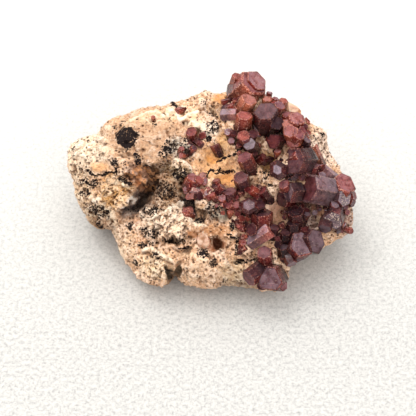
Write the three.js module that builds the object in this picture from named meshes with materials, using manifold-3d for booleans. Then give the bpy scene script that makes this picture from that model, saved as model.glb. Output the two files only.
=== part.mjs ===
// Vanadinite in matrix: a loose piece of pale, pitted rock with hexagonal red-brown vanadinite
// crystals grown over its right half, a blunt barite crystal and a pale barite blade.
//
// The piece lies on a flat ground underside (z = 0) and shows one face, which looks up and forward.
// Shapes are laid out on that display face in millimetres: u runs right, v runs up the face and
// w stands out of it. faceToPart carries them into the part's own frame, where +Z is up.

import * as THREE from 'three';
import { mergeVertices } from 'three/addons/utils/BufferGeometryUtils.js';
import Module from 'manifold-3d';

const wasm = await Module();
wasm.setup();
const { Manifold, Mesh: SolidMesh } = wasm;
const radians = THREE.MathUtils.degToRad;

const FACE_TILT = radians(52);
const FACE_HEIGHT = 13.4;
const SIGHT_DISTANCE = 420;
const GAP = 0.3;
const GROUND_DEPTH = 100;
const WELD_DISTANCE = 1e-5;

const faceToPart = new THREE.Matrix4()
  .makeBasis(
    new THREE.Vector3(1, 0, 0),
    new THREE.Vector3(0, Math.sin(FACE_TILT), Math.cos(FACE_TILT)),
    new THREE.Vector3(0, -Math.cos(FACE_TILT), Math.sin(FACE_TILT)),
  )
  .setPosition(0, 0, FACE_HEIGHT);

// ---------------------------------------------------------------- the matrix rock
//
// The rock is a lump seen from its display face: RIM is its outline on that face, and from the
// outline it domes forward by FRONT_DEPTH and back by BACK_DEPTH around ROCK_CENTRE.

const ROCK_CENTRE = { u: 1.1, v: 4.0, w: -2.5 };
const FRONT_DEPTH = 9.0;
const BACK_DEPTH = 22;
const BOXINESS = 0.72;
const ROCK_DETAIL = 11;
const RIM_STEPS = 12;
const RIM_FIRMNESS = 8;

// Outline points [u, v, w], clockwise from the left end.
const RIM = [
  [-31.4, 11.9, -5], [-30.8, 14.4, -5], [-27.4, 15.8, -6], [-24.8, 16.3, -5], [-23.6, 18.2, -4],
  [-21.2, 20.0, -5], [-18.9, 20.5, -5], [-16.4, 21.7, -5], [-13.1, 22.5, -5], [-9.7, 22.8, -5],
  [-5.0, 24.0, -5], [-0.7, 26.0, -5], [2.0, 25.3, -4.5], [5.4, 26.1, -4.5], [9.5, 26.1, -4],
  [14.0, 24.3, -4], [18.4, 21.4, -4], [22.3, 19.0, -4], [26.3, 17.1, -4], [26.8, 12.6, -4],
  [29.0, 9.5, -3.5], [30.2, 6.8, -3], [31.7, 2.7, -3], [32.4, -1.4, -3], [32.2, -4.7, -3],
  [29.2, -6.8, -2.5], [26.8, -8.1, -2], [23.4, -9.5, -1.5], [20.7, -11.2, -1], [18.0, -13.5, -0.5],
  [17.3, -16.4, 0], [15.1, -18.4, 0], [10.8, -17.9, 0], [7.4, -17.4, 0], [3.1, -17.0, 0],
  [0.5, -17.9, 0.5], [-2.7, -17.7, 0.5], [-5.9, -16.5, 0.5], [-7.3, -15.2, -1], [-8.8, -16.9, 0.5],
  [-11.5, -17.4, 0.5], [-14.0, -16.4, -1], [-16.2, -14.6, -3], [-18.2, -12.0, -3.5],
  [-19.6, -9.5, -4], [-20.7, -6.3, -5], [-21.6, -4.5, -6], [-24.8, -4.5, -7], [-26.7, -2.7, -7],
  [-28.4, 0.0, -7], [-29.4, 2.9, -7], [-30.0, 6.3, -6.5], [-31.1, 8.1, -6], [-31.5, 10.1, -5],
];

// Lumps, ledges, hollows and seams of the display face: centre, half sizes along and across, turn
// in degrees, rise in w (negative sinks) and the share of the half size over which it eases in.
const RELIEF = [
  { name: 'tan plateau', at: [-15.4, 14.0], half: [10.5, 6.6], turn: 12, rise: 1.6, ease: 0.35 },
  { name: 'plateau step', at: [-21.0, 12.0], half: [5.0, 6.5], turn: -20, rise: 0.7, ease: 0.5 },
  { name: 'outer lobe', at: [-28.6, 4.2], half: [4.2, 8.5], turn: 8, rise: -1.6, ease: 0.6 },
  { name: 'left flank', at: [-20.5, 4.0], half: [5.0, 7.0], turn: -15, rise: 1.4, ease: 0.5 },
  { name: 'deep groove', at: [-13.2, 3.6], half: [7.0, 2.4], turn: 58, rise: -5.2, ease: 0.75 },
  { name: 'groove mouth', at: [-10.6, 8.8], half: [3.4, 2.0], turn: 25, rise: -2.4, ease: 0.8 },
  { name: 'cream mound', at: [-9.0, -3.2], half: [7.2, 5.4], turn: -15, rise: 2.6, ease: 0.7 },
  { name: 'lower left lump', at: [-12.6, -12.6], half: [4.6, 4.0], turn: -20, rise: 1.8, ease: 0.7 },
  { name: 'left slope', at: [-17.6, -6.0], half: [2.6, 6.4], turn: 18, rise: 1.0, ease: 0.8 },
  { name: 'bottom mound', at: [-0.8, -13.4], half: [6.6, 4.4], turn: 0, rise: 2.0, ease: 0.6 },
  { name: 'shelf', at: [2.5, -5.2], half: [6.4, 2.2], turn: -8, rise: 1.4, ease: 0.5 },
  { name: 'dark cavity', at: [2.1, -7.8], half: [1.5, 2.2], turn: 15, rise: -4.2, ease: 0.6 },
  { name: 'barite seat', at: [-1.0, -7.2], half: [2.6, 3.0], turn: 0, rise: -1.2, ease: 0.7 },
  { name: 'undercut seam', at: [-7.4, -7.3], half: [4.2, 0.9], turn: -2, rise: -2.2, ease: 0.8 },
  { name: 'curved rim', at: [-6.2, 8.8], half: [2.6, 2.4], turn: 0, rise: 2.2, ease: 0.55 },
  { name: 'speckled slope', at: [-5.0, 2.8], half: [3.6, 4.2], turn: -10, rise: -1.2, ease: 0.8 },
  { name: 'ochre basin', at: [2.8, 9.4], half: [6.4, 5.2], turn: -20, rise: -2.2, ease: 0.6 },
  { name: 'grey lump', at: [2.0, -1.0], half: [3.0, 2.8], turn: 0, rise: 1.4, ease: 0.6 },
  { name: 'crystal valley', at: [15.0, -1.0], half: [6.2, 2.2], turn: 76, rise: -3.6, ease: 0.8 },
  { name: 'ochre floor', at: [13.4, 10.2], half: [4.4, 3.2], turn: -30, rise: -1.8, ease: 0.7 },
  { name: 'crystal ridge', at: [19.8, 12.0], half: [6.5, 13.0], turn: -22, rise: 3.2, ease: 0.85 },
  { name: 'right shelf', at: [25.6, 13.0], half: [3.4, 6.0], turn: -20, rise: -1.6, ease: 0.6 },
  { name: 'lower right patch', at: [23.4, -3.4], half: [2.2, 1.8], turn: 0, rise: -1.8, ease: 0.7 },
  { name: 'bottom notch', at: [-7.5, -15.6], half: [1.5, 3.0], turn: 0, rise: -4.0, ease: 0.8 },
  { name: 'lower seam', at: [9.4, -11.6], half: [4.6, 0.9], turn: 8, rise: -1.6, ease: 0.8 },
  { name: 'lower right lump', at: [9.8, -14.4], half: [4.4, 2.6], turn: 8, rise: 0.9, ease: 0.7 },
  { name: 'top ledge', at: [-3.5, 21.6], half: [9.0, 1.6], turn: 8, rise: -1.2, ease: 0.7 },
];

// Broken faces of the sides, back and underside: direction and distance from the rock's centre.
const FRACTURES = [
  { toward: [0.05, 0.95, -0.3], distance: 19.0 },
  { toward: [0.2, 0.76, -0.62], distance: 17.0 },
  { toward: [-0.66, 0.6, -0.45], distance: 19.5 },
  { toward: [0.8, 0.42, -0.43], distance: 22.0 },
  { toward: [-0.62, -0.38, -0.69], distance: 16.5 },
  { toward: [0.6, -0.49, -0.63], distance: 16.5 },
  { toward: [-0.3, 0.35, -0.88], distance: 18.5 },
  { toward: [0.35, 0.2, -0.91], distance: 19.0 },
];
const FRACTURE_FLATNESS = 0.92;

const rimCurve = new THREE.CatmullRomCurve3(
  RIM.map(([u, v, w]) => new THREE.Vector3(u, v, w)),
  true,
  'centripetal',
);
const rimSamples = rimCurve
  .getPoints(RIM.length * RIM_STEPS)
  .slice(0, -1)
  .map((p) => {
    const shrink = 1 - p.z / SIGHT_DISTANCE;
    const du = p.x * shrink - ROCK_CENTRE.u;
    const dv = p.y * shrink - ROCK_CENTRE.v;
    return { angle: Math.atan2(dv, du), radius: Math.hypot(du, dv), w: p.z };
  })
  .sort((a, b) => a.angle - b.angle);

function rimAt(angle) {
  const count = rimSamples.length;
  let next = rimSamples.findIndex((sample) => sample.angle >= angle);
  if (next < 0) {
    next = 0;
  }
  const after = rimSamples[next];
  const before = rimSamples[(next + count - 1) % count];
  const turn = 2 * Math.PI;
  const span = (after.angle - before.angle + turn) % turn || turn;
  const share = ((angle - before.angle + turn) % turn) / span;
  return {
    radius: THREE.MathUtils.lerp(before.radius, after.radius, share),
    w: THREE.MathUtils.lerp(before.w, after.w, share),
  };
}

// Height that the relief adds at a place of the display face.
function reliefAt(u, v) {
  let rise = 0;
  for (const feature of RELIEF) {
    const turn = radians(feature.turn);
    const du = u - feature.at[0];
    const dv = v - feature.at[1];
    const along = (du * Math.cos(turn) + dv * Math.sin(turn)) / feature.half[0];
    const across = (dv * Math.cos(turn) - du * Math.sin(turn)) / feature.half[1];
    const inside = 1 - Math.hypot(along, across);
    rise += feature.rise * THREE.MathUtils.smoothstep(inside, 0, feature.ease);
  }
  return rise;
}

// Rounded lumps a few millimetres across, all over the rock.
function lumpsAt(u, v, w) {
  const broad = Math.sin(0.71 * u + 1.3) * Math.sin(0.63 * v + 0.4) * Math.sin(0.67 * w + 2.1);
  const fine = Math.sin(1.31 * u + 0.6 * v) * Math.sin(1.17 * v - 0.7 * w + 1.9);
  return 0.65 * broad + 0.4 * fine;
}

// The rock's surface in one direction from its centre, given as a unit vector in u, v and w.
function rockPoint(direction) {
  const around = Math.atan2(direction.y, direction.x);
  const facing = Math.abs(direction.z);
  const spread = Math.sqrt(1 - facing * facing) ** BOXINESS;
  const dome = facing ** BOXINESS;
  const front = direction.z > 0;
  const rim = rimAt(around);
  const point = new THREE.Vector3(
    ROCK_CENTRE.u + rim.radius * Math.cos(around) * spread,
    ROCK_CENTRE.v + rim.radius * Math.sin(around) * spread,
    THREE.MathUtils.lerp(ROCK_CENTRE.w, rim.w, spread ** 2),
  );
  point.z += front ? FRONT_DEPTH * dome : -BACK_DEPTH * dome;
  const inward = 1 - spread ** RIM_FIRMNESS;
  if (front) {
    point.z += reliefAt(point.x, point.y) * inward;
  }
  point.addScaledVector(direction, lumpsAt(point.x, point.y, point.z) * inward);
  if (!front) {
    const centre = new THREE.Vector3(ROCK_CENTRE.u, ROCK_CENTRE.v, ROCK_CENTRE.w);
    const offset = point.clone().sub(centre);
    const reaches = FRACTURES.map(({ toward, distance }) => {
      const normal = new THREE.Vector3(...toward).normalize();
      return distance / Math.max(distance, offset.dot(normal));
    });
    const kept = THREE.MathUtils.lerp(1, Math.min(...reaches), FRACTURE_FLATNESS * inward);
    point.copy(centre).addScaledVector(offset, kept);
  }
  return point;
}

function rockGeometry() {
  const geometry = new THREE.IcosahedronGeometry(1, ROCK_DETAIL);
  geometry.deleteAttribute('uv');
  geometry.deleteAttribute('normal');
  const welded = mergeVertices(geometry, WELD_DISTANCE);
  const position = welded.attributes.position;
  const direction = new THREE.Vector3();
  for (let i = 0; i < position.count; i += 1) {
    direction.fromBufferAttribute(position, i).normalize();
    position.setXYZ(i, ...rockPoint(direction));
  }
  welded.computeVertexNormals();
  return welded;
}

// ---------------------------------------------------------------- solids

function solidOf(geometry) {
  const plain = geometry.clone();
  plain.deleteAttribute('uv');
  plain.deleteAttribute('normal');
  const welded = mergeVertices(plain, WELD_DISTANCE);
  return new Manifold(
    new SolidMesh({
      numProp: 3,
      vertProperties: new Float32Array(welded.attributes.position.array),
      triVerts: new Uint32Array(welded.index.array),
    }),
  );
}

function geometryOf(solid) {
  const mesh = solid.getMesh();
  const geometry = new THREE.BufferGeometry();
  geometry.setAttribute('position', new THREE.BufferAttribute(mesh.vertProperties, 3));
  geometry.setIndex(new THREE.BufferAttribute(mesh.triVerts, 1));
  geometry.computeVertexNormals();
  return geometry;
}

// The rock's surface moved out along its normals by the gap that neighbours keep.
function grownBy(geometry, distance) {
  const grown = geometry.clone();
  const { position, normal } = grown.attributes;
  const point = new THREE.Vector3();
  const outward = new THREE.Vector3();
  for (let i = 0; i < position.count; i += 1) {
    point.fromBufferAttribute(position, i);
    outward.fromBufferAttribute(normal, i);
    point.addScaledVector(outward, distance);
    position.setXYZ(i, ...point);
  }
  return grown;
}

const faceRock = rockGeometry();
const rockAndGap = solidOf(grownBy(faceRock, GAP));
const groundSlab = solidOf(
  new THREE.BoxGeometry(2 * GROUND_DEPTH, 2 * GROUND_DEPTH, GROUND_DEPTH)
    .translate(0, 0, -GROUND_DEPTH / 2)
    .applyMatrix4(faceToPart.clone().invert()),
);
const rockMesh = new THREE.Mesh(faceRock);
rockMesh.material.side = THREE.DoubleSide;

// Point of the rock's surface on the line of sight through a place of the display face.
function seatAt(u, v) {
  const eye = new THREE.Vector3(0, 0, SIGHT_DISTANCE);
  const sight = new THREE.Vector3(u, v, 0).sub(eye).normalize();
  const hit = new THREE.Raycaster(eye, sight).intersectObject(rockMesh)[0];
  if (!hit) {
    throw new Error(`no rock under ${u}, ${v}`);
  }
  return hit.point;
}

// ---------------------------------------------------------------- vanadinite crystals
//
// Each crystal is a six-sided prism, rooted in the rock. From a radius of BEVELLED_FROM it has a
// narrow bevel round its free end.
// A row gives its free end's u and v, its radius and length, the lean of its axis from w and the
// direction that it leans toward (both in degrees, 0 along u, 90 along v), and its turn about
// that axis: at 0 it shows a flat side. Crystals of one group have grown into each other.

const SIDES = 6;
const BEVEL_SHARE = 0.12;
const BEVELLED_FROM = 1.4;
const ROOT_LEVEL = 0.35;
const ROOT_UPRIGHT = 0.75;

const CRYSTAL_GROUPS = {
  crown_crystals: [
    [10.3, 27.9, 3.65, 4.5, 48, 40, 4],
    [10.9, 28.5, 2.75, 5.3, 48, 40, 4],
    [6.7, 29.4, 1.35, 4.8, 50, 70, 10],
    [9.1, 24.3, 2.05, 3.9, 50, 60, 10],
    [6.5, 21.0, 1.57, 2.9, 76, 2, 30],
    [5.9, 22.9, 1.01, 2.5, 72, 20, 10],
    [3.1, 23.5, 0.81, 2.0, 76, 195, 0],
  ],
  main_ridge_crystals: [
    [12.8, 21.7, 2.93, 5.0, 39, 92, 0],
    [16.2, 22.9, 1.46, 3.6, 45, 60, 10],
    [16.9, 24.2, 1.17, 3.1, 55, 80, 0],
    [15.3, 18.9, 1.98, 4.0, 30, 60, 20],
    [17.8, 20.9, 1.24, 2.9, 45, 80, 0],
    [14.6, 23.6, 0.95, 2.7, 50, 80, 0],
    [13.3, 24.5, 1.24, 2.9, 50, 90, 0],
    [13.8, 25.9, 0.72, 3.1, 60, 80, 0],
    [15.3, 24.6, 0.81, 2.7, 60, 70, 15],
    [11.1, 16.1, 0.72, 2.5, 66, 282, 0],
    [14.7, 14.8, 1.89, 3.6, 28, 180, 28],
    [15.6, 12.9, 0.86, 1.8, 40, 90, 0],
    [18.4, 17.2, 1.80, 3.2, 35, 110, 12],
    [20.2, 16.6, 1.60, 3.4, 40, 60, 40],
    [19.0, 14.9, 1.75, 3.0, 32, 200, 20],
    [20.0, 20.0, 2.14, 3.4, 45, 60, 0],
    [17.8, 18.9, 1.46, 3.1, 40, 90, 0],
    [18.6, 19.6, 1.10, 2.6, 40, 50, 20],
    [21.3, 17.4, 1.10, 2.4, 45, 30, 0],
    [21.8, 18.4, 0.81, 2.2, 45, 60, 0],
    [18.9, 10.3, 3.40, 3.2, 40, 185, 25],
    [20.9, 12.0, 1.91, 2.5, 40, 30, 10],
    [15.4, 8.6, 2.21, 3.4, 14, 170, 8],
    [21.6, 4.5, 4.15, 4.6, 54, 170, 30],
    [16.5, 2.0, 2.36, 2.0, 58, 196, 10],
    [18.3, 3.2, 2.90, 2.4, 54, 185, 30],
    [16.9, 5.4, 1.35, 2.7, 40, 120, 0],
    [22.3, 15.1, 0.95, 2.7, 50, 60, 0],
    [25.7, 7.4, 1.24, 2.5, 50, 60, 0],
    [23.6, 9.7, 1.35, 2.7, 50, 80, 10],
    [30.8, 5.7, 2.85, 3.2, 46, 60, 10],
    [30.5, 2.4, 2.40, 3.2, 42, -10, 0],
    [32.9, 2.8, 1.17, 2.7, 62, 10, 0],
    [25.4, 8.6, 1.50, 4.4, 70, 142, 0],
    [23.2, 13.7, 1.40, 5.0, 68, 116, 0],
    [32.6, 1.0, 1.12, 2.2, 56, -25, 0],
    [28.1, -2.7, 2.36, 3.4, 35, 250, 0],
    [26.1, -4.7, 1.57, 3.1, 50, 250, 0],
    [28.4, 0.9, 1.24, 2.7, 40, 60, 0],
  ],
  lower_ridge_crystals: [
    [19.8, -0.9, 1.91, 3.4, 50, 100, 0],
    [19.1, -3.1, 1.69, 3.1, 58, 95, 0],
    [22.1, -1.1, 1.12, 2.5, 50, 60, 0],
    [21.6, -4.5, 1.35, 2.7, 55, 60, 0],
    [20.9, -7.9, 2.93, 3.8, 24, 45, 0],
    [24.2, -7.6, 2.80, 3.8, 40, 5, 15],
    [20.2, -11.0, 1.57, 2.7, 42, 300, 0],
    [18.8, -12.6, 1.42, 3.8, 66, 293, 0],
    [16.7, -8.6, 1.46, 3.1, 50, 100, 0],
    [15.3, -7.2, 1.12, 2.2, 66, 140, 0],
    [17.3, -5.4, 1.35, 2.7, 48, 90, 0],
  ],
  bottom_crystals: [
    [13.8, -15.9, 3.04, 4.3, 18, 200, 5],
    [9.0, -15.7, 2.0, 4.2, 58, 215, 10],
    [16.9, -17.3, 1.35, 2.7, 42, 0, 0],
    [12.6, -9.9, 2.02, 3.8, 38, 105, 12],
  ],
  middle_crystals: [
    [14.0, -5.0, 1.91, 5.0, 72, 33, 25],
    [9.7, -4.7, 1.46, 2.5, 22, 170, 0],
    [11.9, -1.0, 2.48, 3.6, 66, 92, 8],
    [9.0, 0.6, 2.14, 3.6, 16, 100, 20],
    [11.5, 0.9, 1.80, 3.4, 46, 55, 0],
    [9.6, 4.2, 1.30, 3.1, 64, 150, 25],
    [12.0, 4.0, 1.53, 2.9, 58, 130, 10],
    [7.4, 6.8, 1.80, 3.6, 35, 110, 0],
    [6.5, 5.4, 1.12, 2.5, 52, 200, 0],
    [8.6, 5.2, 0.90, 2.2, 50, -20, 0],
    [7.9, -7.4, 0.85, 2.9, 70, 75, 0],
    [8.6, -8.8, 0.68, 2.0, 60, 40, 0],
    [14.8, -4.3, 1.24, 2.7, 48, 80, 0],
    [10.8, 2.5, 1.01, 2.5, 50, 140, 0],
  ],
  upper_crystals: [
    [8.3, 20.7, 1.80, 4.0, 50, 80, 0],
    [7.9, 16.2, 1.62, 3.1, 35, 110, 0],
    [9.3, 14.4, 1.64, 3.4, 25, 140, 25],
    [10.1, 16.7, 1.17, 2.9, 40, 60, 0],
    [10.2, 12.4, 0.77, 2.0, 68, 32, 0],
    [6.8, 12.4, 0.63, 2.0, 60, 150, 0],
  ],
  step_crystals: [
    [4.5, 17.1, 0.95, 2.0, 25, 120, 0],
    [5.7, 16.9, 0.95, 2.0, 40, 60, 10],
    [5.2, 15.1, 0.85, 1.6, 20, 100, 0],
  ],
  chain_crystals: [
    [1.8, 6.3, 1.01, 2.2, 68, 105, 0],
    [3.3, 4.8, 1.12, 2.5, 68, 48, 0],
    [4.7, 3.8, 1.69, 2.9, 54, 100, 0],
    [6.2, 2.5, 0.97, 2.0, 40, 60, 0],
    [3.1, 2.2, 0.99, 1.8, 30, 120, 0],
    [4.5, 1.1, 1.30, 2.2, 30, 150, 0],
    [6.1, 0.9, 1.17, 2.2, 35, 60, 0],
    [0.9, 3.1, 0.77, 1.8, 56, 120, 0],
    [0.0, 2.2, 0.72, 1.8, 56, 200, 0],
    [5.0, -0.7, 0.81, 1.8, 40, 80, 0],
    [7.9, -2.9, 0.99, 2.2, 70, 3, 0],
    [7.4, -4.4, 0.72, 1.8, 50, -30, 0],
  ],
  left_cluster_crystals: [
    [-3.4, 6.8, 1.69, 2.9, 48, 60, 0],
    [-2.0, 6.3, 1.35, 2.7, 50, 40, 0],
    [-4.7, 5.0, 1.24, 2.5, 58, 190, 0],
    [-2.5, 4.5, 1.24, 2.5, 72, -20, 0],
    [-1.8, 2.7, 1.12, 2.0, 40, 0, 0],
    [-3.9, 4.5, 0.62, 2.9, 74, 168, 0],
  ],
  basin_twin_crystals: [
    [12.7, 11.4, 1.08, 2.0, 56, 30, 0],
    [12.4, 10.3, 0.95, 2.0, 56, 200, 0],
  ],
  slope_trio_crystals: [
    [-3.7, 17.1, 1.40, 2.7, 30, 100, 0],
    [-2.8, 15.1, 0.95, 2.0, 52, -60, 0],
    [-1.4, 14.0, 0.81, 2.5, 56, -40, 0],
  ],
  slope_twin_crystals: [
    [-5.9, 13.4, 0.81, 1.8, 40, 60, 0],
    [-6.1, 11.7, 0.90, 1.8, 35, 180, 0],
  ],
  slope_crystal: [
    [-3.1, 13.5, 0.77, 1.8, 40, 60, 0],
  ],
  column_crystal: [
    [8.1, 11.2, 1.75, 4.5, 46, 118, 0],
  ],
  shard_crystal: [
    [1.4, 14.2, 1.12, 2.5, 66, 118, 0],
  ],
  corner_crystal: [
    [32.2, -5.2, 0.81, 2.7, 50, -20, 0],
  ],
  mound_crystal: [
    [-5.2, -1.2, 1.03, 1.8, 56, 160, 0],
  ],
  ledge_crystal: [
    [-7.0, 21.5, 1.01, 1.8, 54, 200, 0],
  ],
  plateau_crystal: [
    [-12.3, 20.5, 0.50, 1.1, 40, 90, 0],
  ],
};

function prismGeometry(radius, length) {
  const bevel = BEVEL_SHARE * radius;
  const sharpEnd = [[radius, length]];
  const bevelledEnd = [[radius, length - bevel], [radius - bevel, length]];
  const end = radius < BEVELLED_FROM ? sharpEnd : bevelledEnd;
  const profile = [[0, 0], [radius, 0], ...end, [0, length]];
  const points = profile.map(([x, y]) => new THREE.Vector2(x, y));
  return new THREE.LatheGeometry(points, SIDES).rotateX(Math.PI / 2);
}

function crystalSolid([u, v, radius, length, lean, toward, turn]) {
  const tilt = radians(lean);
  const heading = radians(toward);
  const axis = new THREE.Vector3(
    Math.sin(tilt) * Math.cos(heading),
    Math.sin(tilt) * Math.sin(heading),
    Math.cos(tilt),
  );
  const shown = new THREE.Vector3(
    -Math.cos(tilt) * Math.cos(heading),
    -Math.cos(tilt) * Math.sin(heading),
    Math.sin(tilt),
  );
  const across = new THREE.Vector3().crossVectors(axis, shown);
  const seat = seatAt(u - length * axis.x, v - length * axis.y);
  const root = radius * (ROOT_LEVEL + ROOT_UPRIGHT * axis.z);
  const place = new THREE.Matrix4()
    .makeBasis(shown, across, axis)
    .multiply(new THREE.Matrix4().makeRotationZ(radians(turn)))
    .setPosition(seat.addScaledVector(axis, -root));
  return solidOf(prismGeometry(radius, length + root).applyMatrix4(place));
}

// The largest piece of a group once the rock, with its gap, is taken away from it.
function grownOnRock(solids) {
  const pieces = Manifold.union(solids).subtract(rockAndGap).decompose();
  pieces.sort((a, b) => b.volume() - a.volume());
  return pieces[0];
}

// ---------------------------------------------------------------- barite

// A blunt, upright barite crystal in a hollow of the rock: a many-sided outline [u, v] that narrows
// to a sharp ridge. Each level of it is [share of the outline, w over the rock].
function bariteCrystal() {
  const centre = [-0.9, -7.2];
  const outline = [
    [-2.3, -5.4], [-1.2, -4.4], [-0.1, -4.8], [0.8, -6.6], [1.0, -8.2], [0.5, -9.2], [-1.0, -9.5],
    [-2.4, -8.8], [-2.8, -7.2],
  ];
  const levels = [[0.9, -1.2], [1.0, 0.4], [0.8, 1.5]];
  const ridge = [[-1.0, -5.2, 2.0], [0.1, -6.9, 2.6], [0.2, -8.4, 2.1]];
  const seat = seatAt(...centre);
  const corners = levels.flatMap(([share, rise]) =>
    outline.map(([u, v]) => [
      THREE.MathUtils.lerp(centre[0], u, share),
      THREE.MathUtils.lerp(centre[1], v, share),
      seat.z + rise,
    ]),
  );
  const crest = ridge.map(([u, v, rise]) => [u, v, seat.z + rise]);
  return grownOnRock([Manifold.hull([...corners, ...crest])]);
}

// A thin, slanting barite blade that stands at the rock's upper right edge.
function bariteBlade() {
  const outline = new THREE.Shape(
    [[-1.3, -1.5], [1.6, -1.7], [1.7, -0.5], [1.0, 0.6], [-1.0, 1.7]].map(
      ([x, y]) => new THREE.Vector2(x, y),
    ),
  );
  const thickness = 1.3;
  const blade = new THREE.ExtrudeGeometry(outline, { depth: thickness, bevelEnabled: false });
  const seat = seatAt(18.7, 20.6);
  blade.rotateX(radians(-25)).rotateY(radians(18)).translate(18.9, 21.8, seat.z - 0.9);
  return grownOnRock([solidOf(blade)]);
}

// ---------------------------------------------------------------- the assembly

const STONE = { color: '#d8b08a', roughness: 0.9, metalness: 0 };
const VANADINITE = { color: '#6d2b26', roughness: 0.25, metalness: 0 };
const BARITE = { color: '#c4a795', roughness: 0.2, metalness: 0 };

const specimen = new THREE.Group();
specimen.name = 'vanadinite_in_matrix';

function addPiece(name, faceSolid, look) {
  const geometry = geometryOf(faceSolid.subtract(groundSlab)).applyMatrix4(faceToPart);
  const piece = new THREE.Mesh(geometry, new THREE.MeshStandardMaterial(look));
  piece.name = name;
  specimen.add(piece);
}

addPiece('matrix', solidOf(faceRock), STONE);
for (const [name, rows] of Object.entries(CRYSTAL_GROUPS)) {
  addPiece(name, grownOnRock(rows.map(crystalSolid)), VANADINITE);
}
addPiece('barite_crystal', bariteCrystal(), BARITE);
addPiece('barite_blade', bariteBlade(), BARITE);

export default specimen;
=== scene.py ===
"""Vanadinite in matrix: a loose, pitted lump of pale rock with red-brown hexagonal crystals."""

import math

import bpy
import numpy as np
from mathutils import Matrix
from mathutils.bvhtree import BVHTree


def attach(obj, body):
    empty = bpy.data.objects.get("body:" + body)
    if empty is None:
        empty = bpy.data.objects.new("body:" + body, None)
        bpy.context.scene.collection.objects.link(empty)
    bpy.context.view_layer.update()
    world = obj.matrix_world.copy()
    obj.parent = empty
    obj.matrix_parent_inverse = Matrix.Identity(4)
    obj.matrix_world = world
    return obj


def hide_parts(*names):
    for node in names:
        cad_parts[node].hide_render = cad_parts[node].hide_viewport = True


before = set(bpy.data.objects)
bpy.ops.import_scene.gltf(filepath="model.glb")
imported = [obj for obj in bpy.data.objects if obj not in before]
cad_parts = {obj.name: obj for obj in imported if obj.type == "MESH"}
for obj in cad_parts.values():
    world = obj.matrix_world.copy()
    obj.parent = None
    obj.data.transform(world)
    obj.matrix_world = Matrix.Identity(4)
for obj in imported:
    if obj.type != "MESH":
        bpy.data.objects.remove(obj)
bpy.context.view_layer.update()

# ---------------------------------------------------------------- display face and view
# The specimen shows one face, which looks forward and 52 degrees up. Places on it are given in
# millimetres from its middle: u to the right, v up the face and w out of it.

FACE_TILT = math.radians(52)
FACE_HEIGHT = 13.4
SIGHT_DISTANCE = 420.0
VIEW_WIDTH = 93.6
SENSOR_WIDTH = 36
MM = 0.001
FACE_AXES = np.array([
    [1, 0, 0],
    [0, math.sin(FACE_TILT), math.cos(FACE_TILT)],
    [0, -math.cos(FACE_TILT), math.sin(FACE_TILT)],
])


def to_part(points):
    """Face places to part places in metres: u, v and w times the face's axes, raised by FACE_HEIGHT."""
    return (np.asarray(points, float) @ FACE_AXES + [0, 0, FACE_HEIGHT]) * MM


camera_data = bpy.data.cameras.new("camera")
camera_data.sensor_width = SENSOR_WIDTH
camera_data.lens = SENSOR_WIDTH * SIGHT_DISTANCE / VIEW_WIDTH
camera_data.clip_start = 10 * MM
camera = bpy.data.objects.new("camera", camera_data)
bpy.context.scene.collection.objects.link(camera)
eye = to_part([0, 0, SIGHT_DISTANCE])
camera_pose = Matrix(FACE_AXES.T.tolist()).to_4x4()
camera_pose.translation = eye.tolist()
camera.matrix_world = camera_pose
bpy.context.scene.camera = camera
bpy.context.scene.view_settings.view_transform = "Standard"


# ---------------------------------------------------------------- floor and light
# A plain pale tabletop in a bright studio, dimmer low down than overhead. Two broad soft lights hang
# overhead and behind the specimen, a small one makes glints and a weak one stands in front.

FLOOR_SIZE = 6.0
FLOOR_GRAINS_PER_MM = 1.15
SPECIMEN_MIDDLE = (0, 0, 0.01)

# Lights: place and size in metres, power in watts and colour.
LIGHTS = {
    "overhead": ((-0.30, -0.14, 0.76), 0.40, 1.1, "#fffcf6"),
    "behind": ((-0.14, 0.34, 0.72), 0.85, 3.1, "#fffdf8"),
    "glint": ((-0.20, 0.16, 0.62), 0.05, 0.60, "#ffffff"),
    "front": ((0.30, -0.50, 0.42), 0.40, 0.8, "#fffaf4"),
}
STUDIO_BRIGHTNESS = 1.88
STUDIO_LOW_GREY = (0.58, 0.58, 0.59, 1)
STUDIO_LEAN = 0.30
STUDIO_FULL_HEIGHT = 0.80


def linear(hex_colour):
    """sRGB hex to linear: below 0.04045 divided by 12.92, above it the 2.4 power curve."""
    values = [int(hex_colour[i : i + 2], 16) / 255 for i in (1, 3, 5)]
    return [c / 12.92 if c <= 0.04045 else ((c + 0.055) / 1.055) ** 2.4 for c in values]


def add_node(tree, kind, inputs=None, **settings):
    """Adds a node, sets its properties and fills its inputs: a socket is linked, a node is linked
    from its first output in use, a string is a colour, and anything else is the input's value."""
    node = tree.nodes.new("ShaderNode" + kind)
    for name, value in settings.items():
        setattr(node, name, value)
    for name, value in (inputs or {}).items():
        socket = node.inputs[name]
        if isinstance(value, bpy.types.Node):
            value = next(output for output in value.outputs if output.enabled)
        if isinstance(value, bpy.types.NodeSocket):
            tree.links.new(value, socket)
        elif isinstance(value, str):
            socket.default_value = (*linear(value), 1)
        else:
            socket.default_value = value
    return node


def new_material(name):
    """An empty node material, as (material, its tree, the socket of places on the piece)."""
    material = bpy.data.materials.new(name)
    material.use_nodes = True
    tree = material.node_tree
    tree.nodes.clear()
    return material, tree, add_node(tree, "TexCoord").outputs["Object"]


floor_mesh = bpy.data.meshes.new("floor")
half = FLOOR_SIZE / 2
floor_mesh.from_pydata(
    [(-half, -half, 0), (half, -half, 0), (half, half, 0), (-half, half, 0)], [], [(0, 1, 2, 3)]
)
floor = bpy.data.objects.new("floor", floor_mesh)
bpy.context.scene.collection.objects.link(floor)

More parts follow.
